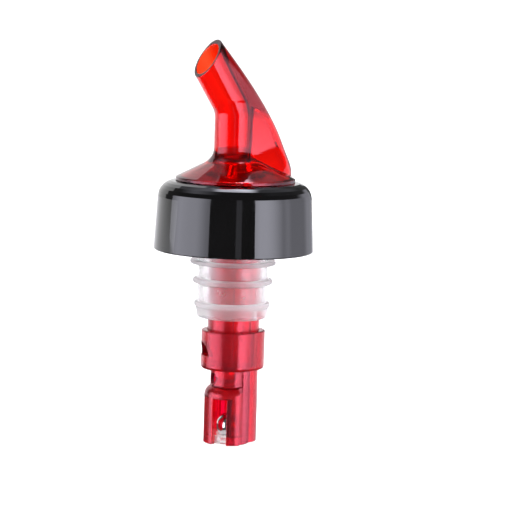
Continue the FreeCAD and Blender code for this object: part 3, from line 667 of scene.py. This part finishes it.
def vent_rows():
    """The breather hole through the hood's back."""
    turn = np.arange(VENT_STEPS) / VENT_STEPS * 2 * math.pi
    rows = []
    for x in (SPOUT_RADIUS + VENT_REACH, SKIRT_RADIUS + OVER):
        row = [np.full(VENT_STEPS, x), VENT_RADIUS * np.cos(turn), VENT_HEIGHT + VENT_RADIUS * np.sin(turn)]
        rows.append(np.stack(row, axis=1))
    return rows


outer_rows, mouth_edge = mouth_rows()
inner_rows = bore_rows(outer_rows[-1], mouth_edge)
spout = skin("spout_shell", skirt_rows() + outer_rows + inner_rows, ring=True)
room = skin("skirt_room", hollow_rows())
fit_solid(room, skin("tube_core", core_rows()), "DIFFERENCE")
fit_solid(spout, room, "DIFFERENCE")
fit_solid(spout, skin("vent", vent_rows()), "DIFFERENCE")


def moulding_waves():
    """A shader group for the slow, shallow waves that cooling leaves in a moulded face."""
    tree = bpy.data.node_groups.new("moulding_waves", "ShaderNodeTree")
    tree.interface.new_socket("Waves per metre", in_out="INPUT", socket_type="NodeSocketFloat")
    tree.interface.new_socket("Height", in_out="OUTPUT", socket_type="NodeSocketFloat")
    tree.interface.new_socket("Patches", in_out="OUTPUT", socket_type="NodeSocketFloat")
    ends = tree.nodes.new("NodeGroupInput"), tree.nodes.new("NodeGroupOutput")
    place = tree.nodes.new("ShaderNodeTexCoord")
    swell = tree.nodes.new("ShaderNodeTexNoise")
    swell.inputs["Detail"].default_value = 1.0
    patch = tree.nodes.new("ShaderNodeTexNoise")
    patch.inputs["Scale"].default_value = 90.0
    patch.inputs["Detail"].default_value = 2.0
    for noise in (swell, patch):
        tree.links.new(place.outputs["Object"], noise.inputs["Vector"])
    tree.links.new(ends[0].outputs["Waves per metre"], swell.inputs["Scale"])
    tree.links.new(swell.outputs["Fac"], ends[1].inputs["Height"])
    tree.links.new(patch.outputs["Fac"], ends[1].inputs["Patches"])
    return tree


LINE_WEAR = 0.35


def handling_marks():
    """A shader group for the hairline scratches and finger smears that handling leaves on a polished face."""
    tree = bpy.data.node_groups.new("handling_marks", "ShaderNodeTree")
    tree.interface.new_socket("Lines per metre", in_out="INPUT", socket_type="NodeSocketFloat")
    tree.interface.new_socket("Amount", in_out="INPUT", socket_type="NodeSocketFloat")
    tree.interface.new_socket("Scratches", in_out="OUTPUT", socket_type="NodeSocketFloat")
    tree.interface.new_socket("Smears", in_out="OUTPUT", socket_type="NodeSocketFloat")
    ends = tree.nodes.new("NodeGroupInput"), tree.nodes.new("NodeGroupOutput")
    place = tree.nodes.new("ShaderNodeTexCoord")
    found = []
    for turn in ((0.5, 0.2, 0.9), (1.2, -0.6, -0.4)):
        lay = tree.nodes.new("ShaderNodeMapping")
        lay.inputs["Rotation"].default_value = turn
        lay.inputs["Scale"].default_value = (1.0, 1.0, 0.035)
        line = tree.nodes.new("ShaderNodeTexNoise")
        line.inputs["Detail"].default_value = 1.5
        line.inputs["Distortion"].default_value = 0.4
        keep = tree.nodes.new("ShaderNodeMapRange")
        keep.inputs["From Min"].default_value = 0.66
        keep.inputs["From Max"].default_value = 0.74
        tree.links.new(place.outputs["Object"], lay.inputs["Vector"])
        tree.links.new(lay.outputs["Vector"], line.inputs["Vector"])
        tree.links.new(ends[0].outputs["Lines per metre"], line.inputs["Scale"])
        tree.links.new(line.outputs["Fac"], keep.inputs["Value"])
        found.append(keep)
    both = tree.nodes.new("ShaderNodeMath")
    both.operation = "MAXIMUM"
    scaled = tree.nodes.new("ShaderNodeMath")
    scaled.operation = "MULTIPLY"
    smear = tree.nodes.new("ShaderNodeTexNoise")
    smear.inputs["Scale"].default_value = 160.0
    smear.inputs["Detail"].default_value = 4.0
    smear.inputs["Roughness"].default_value = 0.65
    tree.links.new(found[0].outputs["Result"], both.inputs[0])
    tree.links.new(found[1].outputs["Result"], both.inputs[1])
    tree.links.new(both.outputs[0], scaled.inputs[0])
    tree.links.new(ends[0].outputs["Amount"], scaled.inputs[1])
    tree.links.new(place.outputs["Object"], smear.inputs["Vector"])
    worn = tree.nodes.new("ShaderNodeMath")
    worn.operation = "MULTIPLY_ADD"
    worn.inputs[1].default_value = LINE_WEAR
    tree.links.new(scaled.outputs[0], worn.inputs[0])
    tree.links.new(smear.outputs["Fac"], worn.inputs[2])
    tree.links.new(scaled.outputs[0], ends[1].inputs["Scratches"])
    tree.links.new(worn.outputs[0], ends[1].inputs["Smears"])
    return tree


waves_group = moulding_waves()
marks_group = handling_marks()


def new_material(name, ior, metallic=0.0, transmission=0.0):
    """A material and its shader, with the values that are the same all over."""
    material = bpy.data.materials.new(name)
    material.use_nodes = True
    shader = material.node_tree.nodes["Principled BSDF"]
    shader.inputs["IOR"].default_value = ior
    shader.inputs["Metallic"].default_value = metallic
    shader.inputs["Transmission Weight"].default_value = transmission
    return material, material.node_tree, shader


def place_group(tree, group, **values):
    """A shader group placed in a material, with its inputs set by name."""
    node = tree.nodes.new("ShaderNodeGroup")
    node.node_tree = group
    for name, value in values.items():
        node.inputs[name.replace("_", " ")].default_value = value
    return node


def vary(tree, source, socket, low, high, from_low=0.0, from_high=1.0):
    """Drive a socket from low to high by a mask."""
    spread = tree.nodes.new("ShaderNodeMapRange")
    for name, value in (("From Min", from_low), ("From Max", from_high), ("To Min", low), ("To Max", high)):
        spread.inputs[name].default_value = value
    tree.links.new(source, spread.inputs["Value"])
    tree.links.new(spread.outputs["Result"], socket)


def tint(tree, source, socket, one, other, from_low=0.3, from_high=0.7):
    """Mix two colours into a socket by a mask."""
    mix = tree.nodes.new("ShaderNodeMix")
    mix.data_type = "RGBA"
    colours = [s for s in mix.inputs if s.type == "RGBA"]
    colours[0].default_value = (*one, 1)
    colours[1].default_value = (*other, 1)
    vary(tree, source, mix.inputs["Factor"], 0.0, 1.0, from_low, from_high)
    tree.links.new([s for s in mix.outputs if s.type == "RGBA"][0], socket)


def press(tree, source, socket, depth):
    """Press a height into the surface, depth in metres for the whole range of the mask."""
    bump = tree.nodes.new("ShaderNodeBump")
    bump.inputs["Distance"].default_value = depth
    tree.links.new(source, bump.inputs["Height"])
    if socket.is_linked:
        tree.links.new(socket.links[0].from_socket, bump.inputs["Normal"])
    tree.links.new(bump.outputs["Normal"], socket)


def absorb(tree, colour, density):
    """The colour that the plastic takes on through its thickness; density is per metre."""
    inside = tree.nodes.new("ShaderNodeVolumeAbsorption")
    inside.inputs["Color"].default_value = (*colour, 1)
    inside.inputs["Density"].default_value = density
    tree.links.new(inside.outputs["Volume"], tree.nodes["Material Output"].inputs["Volume"])


CLEAR_RED = (0.95, 0.45, 0.1)
CLEAR_RED_DENSITY = 4000.0
CLEAR_RED_SHINE = (1.2, 0.5, 0.6, 1)


def clear_red_plastic():
    """Tinted styrene as it comes from a polished mould: clear, glossy, redder where it is thicker."""
    material, tree, shader = new_material("clear_red_styrene", 1.49, transmission=1.0)
    shader.inputs["Specular Tint"].default_value = CLEAR_RED_SHINE
    waves = place_group(tree, waves_group, Waves_per_metre=150.0)
    marks = place_group(tree, marks_group, Lines_per_metre=2600.0, Amount=0.5)
    tint(tree, waves.outputs["Patches"], shader.inputs["Base Color"], (1.0, 0.5, 0.52), (1.0, 0.43, 0.45))
    vary(tree, marks.outputs["Smears"], shader.inputs["Roughness"], 0.0, 0.04, 0.4, 0.8)
    press(tree, waves.outputs["Height"], shader.inputs["Normal"], 0.00004)
    absorb(tree, CLEAR_RED, CLEAR_RED_DENSITY)
    return material


finish_piece(spout, clear_red_plastic())
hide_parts("spout")
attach(spout, "pourer")


# The collar: a gloss black cap, open underneath, whose rounded top carries the spout's skirt. It is
# moulded in polished black plastic, and the hub inside it stands on the stopper's neck.
COLLAR_OUTLINE = [
    (8.3, 2.82, 0.15), (9.9, 2.82, 0.15), (9.9, 20.5, 0.4), (19.244, 20.5, 2.6), (20.25, 3.7, 0.3),
    (22.25, 3.7, 0.4), (21.132, 22.9, 4.6), (8.3, 22.9, 0.2),
]
LATHE_PATH = 0.01


def turning_tree():
    """The Geometry Nodes tree that turns an outline, drawn behind the axis on its X and Z, into a solid."""
    tree = bpy.data.node_groups.new("turned_piece", "GeometryNodeTree")
    tree.interface.new_socket("Outline", in_out="INPUT", socket_type="NodeSocketGeometry")
    steps = tree.interface.new_socket("Steps round", in_out="INPUT", socket_type="NodeSocketInt")
    finish = tree.interface.new_socket("Finish", in_out="INPUT", socket_type="NodeSocketMaterial")
    tree.interface.new_socket("Piece", in_out="OUTPUT", socket_type="NodeSocketGeometry")
    start, end = tree.nodes.new("NodeGroupInput"), tree.nodes.new("NodeGroupOutput")
    lay_flat = tree.nodes.new("GeometryNodeTransform")
    lay_flat.inputs["Translation"].default_value = (-LATHE_PATH, 0, 0)
    lay_flat.inputs["Rotation"].default_value = (math.pi / 2, 0, 0)
    outline = tree.nodes.new("GeometryNodeMeshToCurve")
    path = tree.nodes.new("GeometryNodeCurvePrimitiveCircle")
    path.inputs["Radius"].default_value = LATHE_PATH
    turn = tree.nodes.new("GeometryNodeCurveToMesh")
    weld = tree.nodes.new("GeometryNodeMergeByDistance")
    weld.inputs["Distance"].default_value = 1e-6
    real = tree.nodes.new("GeometryNodeRealizeInstances")
    paint = tree.nodes.new("GeometryNodeSetMaterial")
    link = tree.links.new
    link(start.outputs["Outline"], lay_flat.inputs["Geometry"])
    link(lay_flat.outputs["Geometry"], outline.inputs["Mesh"])
    link(start.outputs["Steps round"], path.inputs["Resolution"])
    link(path.outputs["Curve"], turn.inputs["Curve"])
    link(outline.outputs["Curve"], turn.inputs["Profile Curve"])
    link(turn.outputs["Mesh"], weld.inputs["Geometry"])
    link(weld.outputs["Geometry"], real.inputs["Geometry"])
    link(real.outputs["Geometry"], paint.inputs["Geometry"])
    link(start.outputs["Finish"], paint.inputs["Material"])
    link(paint.outputs["Geometry"], end.inputs["Piece"])
    return tree, steps.identifier, finish.identifier


lathe, steps_socket, finish_socket = turning_tree()


def turned_piece(name, corners, material=None, steps=192, closed=True, x=0.0):
    """A piece turned from an outline in millimetres, which is open where it starts and ends on the axis."""
    points = [(px * MM, 0.0, pz * MM) for px, pz in rounded(corners, closed=closed)]
    edges = [(i, i + 1) for i in range(len(points) - 1)]
    if closed:
        edges.append((len(points) - 1, 0))
    outline = bpy.data.meshes.new(name)
    outline.from_pydata(points, edges, [])
    piece = new_piece(name, outline)
    turn = piece.modifiers.new("turn", "NODES")
    turn.node_group = lathe
    turn[steps_socket] = steps
    turn[finish_socket] = material
    make_plain(piece)
    face_out(piece.data)
    piece.data.transform(Matrix.Translation((x * MM, 0, 0)))
    return piece


BLACK = (0.0012, 0.0011, 0.0013)
WORN_BLACK = (0.0024, 0.0022, 0.0025)


def polished_black_plastic():
    """Black styrene from a mirror-polished mould, with faint waves, hairlines and finger smears."""
    material, tree, shader = new_material("polished_black_plastic", 1.5)
    waves = place_group(tree, waves_group, Waves_per_metre=70.0)
    marks = place_group(tree, marks_group, Lines_per_metre=2400.0, Amount=0.6)
    tint(tree, waves.outputs["Patches"], shader.inputs["Base Color"], BLACK, WORN_BLACK)
    vary(tree, marks.outputs["Smears"], shader.inputs["Roughness"], 0.035, 0.11, 0.4, 0.75)
    press(tree, waves.outputs["Height"], shader.inputs["Normal"], 0.00004)
    press(tree, marks.outputs["Scratches"], shader.inputs["Normal"], 0.0000004)
    return material


black = polished_black_plastic()
collar = turned_piece("collar_cap", COLLAR_OUTLINE, black)
finish_piece(collar, black)
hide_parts("collar")
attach(collar, "pourer")


# The stopper: a soft milky cup with two thin fins that bend in the bottle's neck and seal it. It is
# moulded in natural polythene. Its flange rests on the bottle's lip, its foot grips the tube and the
# collar stands on its neck.
AXIS = 0.0
STOPPER_OUTLINE = [
    (AXIS, -15.0, 0), (9.65, -15.0, 0.5), (10.05, -12.175, 0.3),
    (10.5, -11.825, 0.4), (10.5, -10.775, 0.4), (9.65, -10.425, 0.45), (9.65, -5.675, 0.45),
    (11.05, -5.325, 0.4), (11.05, -4.275, 0.4), (9.65, -3.925, 0.45), (9.65, 0.0, 0.35),
    (11.9, 0.0, 0.3), (11.9, 1.0, 0.3), (9.65, 1.0, 0.3), (9.65, 2.8, 0.2),
    (8.25, 2.8, 0.2), (8.25, -11.8, 0.6), (AXIS, -11.8, 0),
]
LOBE_X = 2.4
LOBE_RADIUS = 5.65
TUBE_RADIUS = 6.6
FIT_GAP = 0.05
LOBE_STEPS = 192
lobe_rays = np.arange(LOBE_STEPS) / LOBE_STEPS * 2 * math.pi


def lobed_reach(radius, lobe_radius):
    """How far the tube's lobed outline reaches along each ray."""
    side = LOBE_X * np.sin(lobe_rays)
    lobe = LOBE_X * np.cos(lobe_rays) + np.sqrt(lobe_radius ** 2 - side ** 2)
    return np.maximum(radius, lobe)


def level_row(reach, z):
    """The points of a level section on the rays from the axis."""
    return np.stack([reach * np.cos(lobe_rays), reach * np.sin(lobe_rays), np.full(LOBE_STEPS, z)], axis=1)


MILK = (0.97, 0.935, 0.942)
THICK_MILK = (0.96, 0.92, 0.93)
MILKINESS = 120.0
MILK_GLOW = (1.0, 0.88, 0.9, 1)
FORWARD_SCATTER = 0.2
FIN_SCUFF = 0.35
SCUFF_FROM = 0.0097
SCUFF_FULL = 0.0103


def milky_polythene():
    """Natural polythene, which scatters light: milky, waxy and slightly grained."""
    material, tree, shader = new_material("milky_polythene", 1.5, transmission=1.0)
    waves = place_group(tree, waves_group, Waves_per_metre=220.0)
    marks = place_group(tree, marks_group, Lines_per_metre=1500.0, Amount=0.1)
    tint(tree, waves.outputs["Patches"], shader.inputs["Base Color"], MILK, THICK_MILK)
    place = tree.nodes.new("ShaderNodeTexCoord")
    level = tree.nodes.new("ShaderNodeVectorMath")
    level.operation = "MULTIPLY"
    level.inputs[1].default_value = (1, 1, 0)
    reach = tree.nodes.new("ShaderNodeVectorMath")
    reach.operation = "LENGTH"
    scuff = tree.nodes.new("ShaderNodeMath")
    scuff.operation = "ADD"
    vary(tree, marks.outputs["Smears"], scuff.inputs[0], 0.22, 0.3, 0.35, 0.75)
    vary(tree, reach.outputs["Value"], scuff.inputs[1], 0.0, FIN_SCUFF, SCUFF_FROM, SCUFF_FULL)
    tree.links.new(place.outputs["Object"], level.inputs[0])
    tree.links.new(level.outputs["Vector"], reach.inputs[0])
    tree.links.new(scuff.outputs[0], shader.inputs["Roughness"])
    press(tree, waves.outputs["Height"], shader.inputs["Normal"], 0.00008)
    cloud = tree.nodes.new("ShaderNodeVolumeScatter")
    cloud.inputs["Density"].default_value = MILKINESS
    cloud.inputs["Color"].default_value = MILK_GLOW
    cloud.inputs["Anisotropy"].default_value = FORWARD_SCATTER
    tree.links.new(cloud.outputs["Volume"], tree.nodes["Material Output"].inputs["Volume"])
    return material


WELD = 1e-7


def weld(piece):
    """Join the points of a piece that fall together."""
    built = bmesh.new()
    built.from_mesh(piece.data)
    bmesh.ops.remove_doubles(built, verts=built.verts, dist=WELD)
    bmesh.ops.dissolve_degenerate(built, edges=built.edges, dist=WELD)
    bmesh.ops.recalc_face_normals(built, faces=built.faces)
    built.to_mesh(piece.data)
    built.free()


milky = milky_polythene()
grip = lobed_reach(TUBE_RADIUS + FIT_GAP, LOBE_RADIUS + FIT_GAP)
cup = rounded(STOPPER_OUTLINE)
cup = [cup[0]] + [(x, z) for x, z in cup if x > TUBE_RADIUS] + [cup[-1]]
stopper = skin("stopper_cup", [level_row(np.maximum(x, grip), z) for x, z in cup], ring=True)
weld(stopper)
STOPPER_CREASE = 40.0
finish_piece(stopper, milky, STOPPER_CREASE)
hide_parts("stopper")
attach(stopper, "pourer")


# The measuring tube: a frosted red moulding with the round timing bore at its front and the breather's
# way behind it, which runs on down as a lobe behind the cage. Its spigot is pressed into the spout.
JOINT = -27.0
TUBE_TOP = 24.4
TUBE_WALL = 1.1
SEAT_FOOT = 28.9
LOBE_FOOT = -49.9
CORE_RADIUS = 5.65
BORE_RADIUS = 3.6
LINER_RADIUS = 4.6
SPIGOT_RADIUS = 4.5
WEB_X = -2.0
WEB_STEPS = 48
PORT_WIDTH = 5.2
PORT_LOW = -26.4
PORT_HIGH = -19.6
WINDOW_TURN = math.radians(14.0)
TUBE_EDGE = 0.15
EDGE_STEPS = 5
INSET = 0.02


def edge_angles(edge):
    """The steps of a rounded edge, as angles from its flat end, or one step for a sharp edge."""
    return [math.pi / 2 * i / EDGE_STEPS for i in range(EDGE_STEPS + 1)] if edge else [math.pi / 2]


def lobed_solid(name, radius, lobe_radius, low, high, edge=0.0, low_edge=None):
    """An upright solid with the tube's lobed outline, its ends' edges rounded."""
    low_edge = edge if low_edge is None else low_edge
    drawn = []
    for a in edge_angles(low_edge):
        drawn.append((low_edge * (1 - math.sin(a)), low + low_edge * (1 - math.cos(a))))
    for a in reversed(edge_angles(edge)):
        drawn.append((edge * (1 - math.sin(a)), high - edge * (1 - math.cos(a))))
    return skin(name, [level_row(lobed_reach(radius - inset, lobe_radius - inset), z) for inset, z in drawn])


def round_solid(name, x, radius, low, high, steps=128):
    """An upright round solid, used to build or to bore a piece."""
    turn = np.arange(steps) / steps * 2 * math.pi
    across, sideways = x + radius * np.cos(turn), radius * np.sin(turn)
    return skin(name, [np.stack([across, sideways, np.full(steps, z)], axis=1) for z in (low, high)])


def outward_solid(name, outline, turn, start, end):
    """A solid that runs outwards from the axis, turned from the spout's side towards +Y."""
    out = np.array((-math.cos(turn), math.sin(turn), 0))
    side = np.array((math.sin(turn), math.cos(turn), 0))
    rows = []
    for run in (start, end):
        rows.append([out * run + side * across + np.array((0, 0, z)) for across, z in outline])
    return skin(name, rows)


def frost_grain():
    """A shader group for a face moulded against an etched mould: a fine grain and slow cloudy patches."""
    tree = bpy.data.node_groups.new("frost_grain", "ShaderNodeTree")
    tree.interface.new_socket("Grains per metre", in_out="INPUT", socket_type="NodeSocketFloat")
    tree.interface.new_socket("Height", in_out="OUTPUT", socket_type="NodeSocketFloat")
    tree.interface.new_socket("Clouds", in_out="OUTPUT", socket_type="NodeSocketFloat")
    ends = tree.nodes.new("NodeGroupInput"), tree.nodes.new("NodeGroupOutput")
    place = tree.nodes.new("ShaderNodeTexCoord")
    grain = tree.nodes.new("ShaderNodeTexNoise")
    grain.inputs["Detail"].default_value = 3.0
    cloud = tree.nodes.new("ShaderNodeTexNoise")
    cloud.inputs["Scale"].default_value = 240.0
    cloud.inputs["Detail"].default_value = 3.0
    for noise in (grain, cloud):
        tree.links.new(place.outputs["Object"], noise.inputs["Vector"])
    tree.links.new(ends[0].outputs["Grains per metre"], grain.inputs["Scale"])
    tree.links.new(grain.outputs["Fac"], ends[1].inputs["Height"])
    tree.links.new(cloud.outputs["Fac"], ends[1].inputs["Clouds"])
    return tree


grain_group = frost_grain()


FROSTED_RED = (0.925, 0.0, 0.55)
FROSTED_RED_DENSITY = 2350.0
FROSTED_RED_SHINE = (2.5, 0.46, 0.62, 1)
FROST = (1.0, 0.1, 0.18)
THICK_FROST = (0.99, 0.07, 0.14)


def frosted_red_plastic():
    """Tinted styrene with an etched face, which blurs what is behind it and dulls its shine."""
    material, tree, shader = new_material("frosted_red_styrene", 1.55, transmission=0.97)
    shader.inputs["Specular Tint"].default_value = FROSTED_RED_SHINE
    grain = place_group(tree, grain_group, Grains_per_metre=5200.0)
    tint(tree, grain.outputs["Clouds"], shader.inputs["Base Color"], FROST, THICK_FROST)
    vary(tree, grain.outputs["Clouds"], shader.inputs["Roughness"], 0.19, 0.27, 0.3, 0.7)
    press(tree, grain.outputs["Height"], shader.inputs["Normal"], 0.000002)
    absorb(tree, FROSTED_RED, FROSTED_RED_DENSITY)
    return material


def front_web():
    """The flat-backed filling between the tube's front wall and the timing bore's liner."""
    radius = TUBE_RADIUS - TUBE_WALL / 2
    half = math.acos(-WEB_X / radius)
    rays = np.linspace(math.pi - half, math.pi + half, WEB_STEPS)
    across, sideways = radius * np.cos(rays), radius * np.sin(rays)
    ends = JOINT + INSET, TUBE_TOP - INSET
    return skin("front_web", [np.stack([across, sideways, np.full(WEB_STEPS, z)], axis=1) for z in ends])


def upright_box(width, low, high):
    """The outline of an upright opening of this width."""
    return [(-width / 2, low), (width / 2, low), (width / 2, high), (-width / 2, high)]


frosted_red = frosted_red_plastic()
tube = lobed_solid("measuring_tube_shell", TUBE_RADIUS, LOBE_RADIUS, JOINT, TUBE_TOP, TUBE_EDGE)
inner_radius = TUBE_RADIUS - TUBE_WALL
inner_lobe = LOBE_RADIUS - TUBE_WALL
port = upright_box(PORT_WIDTH, PORT_LOW, PORT_HIGH)
for solid, operation in (
    (round_solid("lobe_run", LOBE_X, LOBE_RADIUS, LOBE_FOOT, JOINT + OVER), "UNION"),
    (lobed_solid("air_way", inner_radius, inner_lobe, JOINT - OVER, TUBE_TOP + OVER), "DIFFERENCE"),
    (round_solid("channel", LOBE_X, inner_lobe, LOBE_FOOT - OVER, JOINT), "DIFFERENCE"),
    (round_solid("cage_room", AXIS, CORE_RADIUS + FIT_GAP, LOBE_FOOT - OVER, JOINT), "DIFFERENCE"),
    (front_web(), "UNION"),
    (round_solid("liner", TUBE_X, LINER_RADIUS, JOINT + INSET / 2, TUBE_TOP - INSET / 2), "UNION"),
    (round_solid("spigot", TUBE_X, SPIGOT_RADIUS, TUBE_TOP - OVER, SEAT_FOOT), "UNION"),
    (round_solid("timing_bore", TUBE_X, BORE_RADIUS, JOINT - OVER, SEAT_FOOT + OVER), "DIFFERENCE"),
    (outward_solid("port", port, WINDOW_TURN, AXIS, TUBE_RADIUS + OVER), "DIFFERENCE"),
):
    fit_solid(tube, solid, operation)
finish_piece(tube, frosted_red)
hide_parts("measuring_tube")
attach(tube, "pourer")


# The metering ring: a frosted red sleeve pressed over the foot of the tube. Its half-round window over
# the tube's port sets the dose, and its lip closes under the cage's flange.
RING_WALL = 1.68
RING_FOOT = -29.5
RING_TOP = -18.6
RING_LIP_TOP = -28.05
LIP_OVERLAP = 0.1
RING_TOP_EDGE = 0.35
RING_FOOT_EDGE = 0.9
WINDOW_RADIUS = 3.75
WINDOW_SILL = -25.6
WINDOW_START = 3.0
WINDOW_STEPS = 40
SOFT_GRAIN = 0.15
SOFT_CREASE = 60.0


def soften(piece, grain):
    """Give a cut-out solid the soft edges of a moulding, by rebuilding its skin on a grid this fine."""
    rebuilt = piece.modifiers.new("soften", "REMESH")
    rebuilt.mode = "VOXEL"
    rebuilt.voxel_size = grain * MM
    rebuilt.use_smooth_shade = True
    make_plain(piece)


ring_radius = TUBE_RADIUS + RING_WALL
ring_lobe = LOBE_RADIUS + RING_WALL
loose_lobe = LOBE_RADIUS + FIT_GAP
ring = lobed_solid(
    "metering_ring_sleeve", ring_radius, ring_lobe, RING_FOOT, RING_TOP, RING_TOP_EDGE, RING_FOOT_EDGE,
)
bore = lobed_solid("ring_bore", TUBE_RADIUS + FIT_GAP, loose_lobe, RING_LIP_TOP, RING_TOP + OVER)
fit_solid(ring, bore, "DIFFERENCE")
lip = lobed_solid("ring_lip", CORE_RADIUS + FIT_GAP, loose_lobe, RING_FOOT - OVER, RING_LIP_TOP + LIP_OVERLAP)
fit_solid(ring, lip, "DIFFERENCE")
arch_steps = [math.pi * i / WINDOW_STEPS for i in range(WINDOW_STEPS + 1)]
arch = [(WINDOW_RADIUS * math.cos(a), WINDOW_SILL + WINDOW_RADIUS * math.sin(a)) for a in arch_steps]
fit_solid(ring, outward_solid("window", arch, WINDOW_TURN, WINDOW_START, ring_radius + OVER), "DIFFERENCE")
soften(ring, SOFT_GRAIN)
finish_piece(ring, frosted_red, SOFT_CREASE)
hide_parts("metering_ring")
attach(ring, "pourer")


# The ball cage: a frosted red moulding pushed up into the ring. Its neck ends the timing bore and has
# the round metering hole, and its domed shell has two slots that show the reset ball.
NECK_RADIUS = 5.45
NECK_FOOT = -34.3
FLANGE_FOOT = -28.0
CAGE_RADIUS = 7.05
SHELL_FOOT = -50.35
CORE_FOOT = -50.49
DOME_RADIUS = 3.0
SHELL_HALF = math.radians(88.0)
BORE_FLOOR = -34.2
CHAMBER_TOP = -35.8
CHAMBER_RADIUS = 3.9
DRAIN_RADIUS = 1.9
HOOP_RADIUS = 5.05
RETAINER_TOP = -48.15
SLOT_WIDTH = 4.3
SLOT_TURN = math.radians(38.6)
SLOT_TOP = -37.5
METERING_RADIUS = 1.4
METERING_HEIGHT = -32.1
METERING_START = 0.5
METERING_STEPS = 40
INSIDE = 4.6
SECTOR_STEPS = 72
DOME_STEPS = 12
CAGE_STEPS = 144


def front_sector(name, outline, spread):
    """A solid turned part of the way round, centred on the spout's side."""
    rows = []
    for step in range(SECTOR_STEPS + 1):
        turn = math.pi - spread + 2 * spread * step / SECTOR_STEPS
        rows.append([(r * math.cos(turn), r * math.sin(turn), z) for r, z in outline])
    return skin(name, rows)


dome_x = CAGE_RADIUS - DOME_RADIUS
dome_z = NECK_FOOT - math.sqrt(DOME_RADIUS ** 2 - (NECK_RADIUS - dome_x) ** 2)
dome_end = math.acos((NECK_RADIUS - dome_x) / DOME_RADIUS)
dome = []
for step in range(DOME_STEPS + 1):
    angle = dome_end * (1 - step / DOME_STEPS)
    dome.append((dome_x + DOME_RADIUS * math.cos(angle), dome_z + DOME_RADIUS * math.sin(angle)))
core = [
    (AXIS, CORE_FOOT, 0), (CORE_RADIUS, CORE_FOOT, 0), (CORE_RADIUS, NECK_FOOT, 0),
    (NECK_RADIUS, NECK_FOOT, 0), (NECK_RADIUS, JOINT, 0), (AXIS, JOINT, 0),
]
cage_shell = [(INSIDE, SHELL_FOOT), (CAGE_RADIUS, SHELL_FOOT)] + dome[::-1] + [(INSIDE, NECK_FOOT)]
flange_top = JOINT - INSET
flange = [(INSIDE, FLANGE_FOOT), (TUBE_RADIUS, FLANGE_FOOT), (TUBE_RADIUS, flange_top), (INSIDE, flange_top)]
slot = upright_box(SLOT_WIDTH, CORE_FOOT - OVER, SLOT_TOP)
hole_steps = [2 * math.pi * i / METERING_STEPS for i in range(METERING_STEPS)]
hole = [(METERING_RADIUS * math.cos(a), METERING_HEIGHT + METERING_RADIUS * math.sin(a)) for a in hole_steps]
cage = turned_piece("ball_cage_shell", core, closed=False, steps=CAGE_STEPS)
for solid, operation in (
    (front_sector("front_shell", cage_shell, SHELL_HALF), "UNION"),
    (front_sector("cage_flange", flange, SHELL_HALF), "UNION"),
    (round_solid("bore_end", TUBE_X, BORE_RADIUS, BORE_FLOOR, JOINT + OVER), "DIFFERENCE"),
    (round_solid("drain", AXIS, DRAIN_RADIUS, CHAMBER_TOP - OVER, BORE_FLOOR + OVER), "DIFFERENCE"),
    (round_solid("chamber", AXIS, CHAMBER_RADIUS, RETAINER_TOP - OVER, CHAMBER_TOP), "DIFFERENCE"),
    (round_solid("hoop_seat", AXIS, HOOP_RADIUS, CORE_FOOT - OVER, RETAINER_TOP), "DIFFERENCE"),
    (outward_solid("slot", slot, SLOT_TURN, AXIS, CAGE_RADIUS + OVER), "DIFFERENCE"),
    (outward_solid("slot", slot, -SLOT_TURN, AXIS, CAGE_RADIUS + OVER), "DIFFERENCE"),
    (outward_solid("metering_hole", hole, AXIS, METERING_START, NECK_RADIUS + OVER), "DIFFERENCE"),
):
    fit_solid(cage, solid, operation)
soften(cage, SOFT_GRAIN)
finish_piece(cage, frosted_red, SOFT_CREASE)
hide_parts("ball_cage")
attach(cage, "pourer")


# The ball retainer: a pale hoop of natural polythene snapped into the cage's foot. The reset ball rests
# on its bore while the pourer stands upright.
SMALL_STEPS = 96
RETAINER_OUTLINE = [(2.4, -50.35, 0.2), (5.0, -50.35, 0.3), (5.0, -48.17, 0.3), (2.4, -48.17, 0.2)]
retainer = turned_piece("ball_retainer_hoop", RETAINER_OUTLINE, milky, steps=SMALL_STEPS)
finish_piece(retainer, milky)
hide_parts("ball_retainer")
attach(retainer, "pourer")


# The ball seat: a frosted red ring in the spout's socket, on top of the bore. The timing ball closes
# its bevelled throat and ends the pour.
SEAT_OUTLINE = [
    (2.6, 29.9, 0.15), (3.6, 28.93, 0.1), (4.5, 28.93, 0.1), (4.5, 32.17, 0.2), (2.6, 32.17, 0.2),
]
seat = turned_piece("ball_seat_ring", SEAT_OUTLINE, frosted_red, steps=SMALL_STEPS, x=TUBE_X)
finish_piece(seat, frosted_red)
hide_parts("ball_seat")
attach(seat, "pourer")


# The balls: two stock 7 mm balls of polished steel. The timing ball rests on the drain at the foot of
# its bore, and the reset ball on the retainer.
BALL_RADIUS = 3.5
BALL_ARCS = 64
STEEL = (0.66, 0.66, 0.67)
SMEARED_STEEL = (0.55, 0.55, 0.57)


def polished_steel():
    """Ground and lapped ball steel, with faint lapping lines and smears."""
    material, tree, shader = new_material("ball_steel", 2.5, metallic=1.0)
    marks = place_group(tree, marks_group, Lines_per_metre=3000.0, Amount=0.6)
    tint(tree, marks.outputs["Smears"], shader.inputs["Base Color"], STEEL, SMEARED_STEEL)
    vary(tree, marks.outputs["Smears"], shader.inputs["Roughness"], 0.04, 0.14, 0.35, 0.75)
    press(tree, marks.outputs["Scratches"], shader.inputs["Normal"], 0.0000004)
    return material


steel = polished_steel()
for node in ("timing_ball", "reset_ball"):
    low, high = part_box(node)
    middle = (low + high) / 2 / MM
    arc = [math.pi * (i / BALL_ARCS - 0.5) for i in range(BALL_ARCS + 1)]
    outline = [(BALL_RADIUS * math.cos(a), middle.z + BALL_RADIUS * math.sin(a), 0) for a in arc]
    ball = turned_piece(node + "_steel", outline, steel, steps=SMALL_STEPS, closed=False, x=middle.x)
    finish_piece(ball, steel)
    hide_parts(node)
    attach(ball, node)
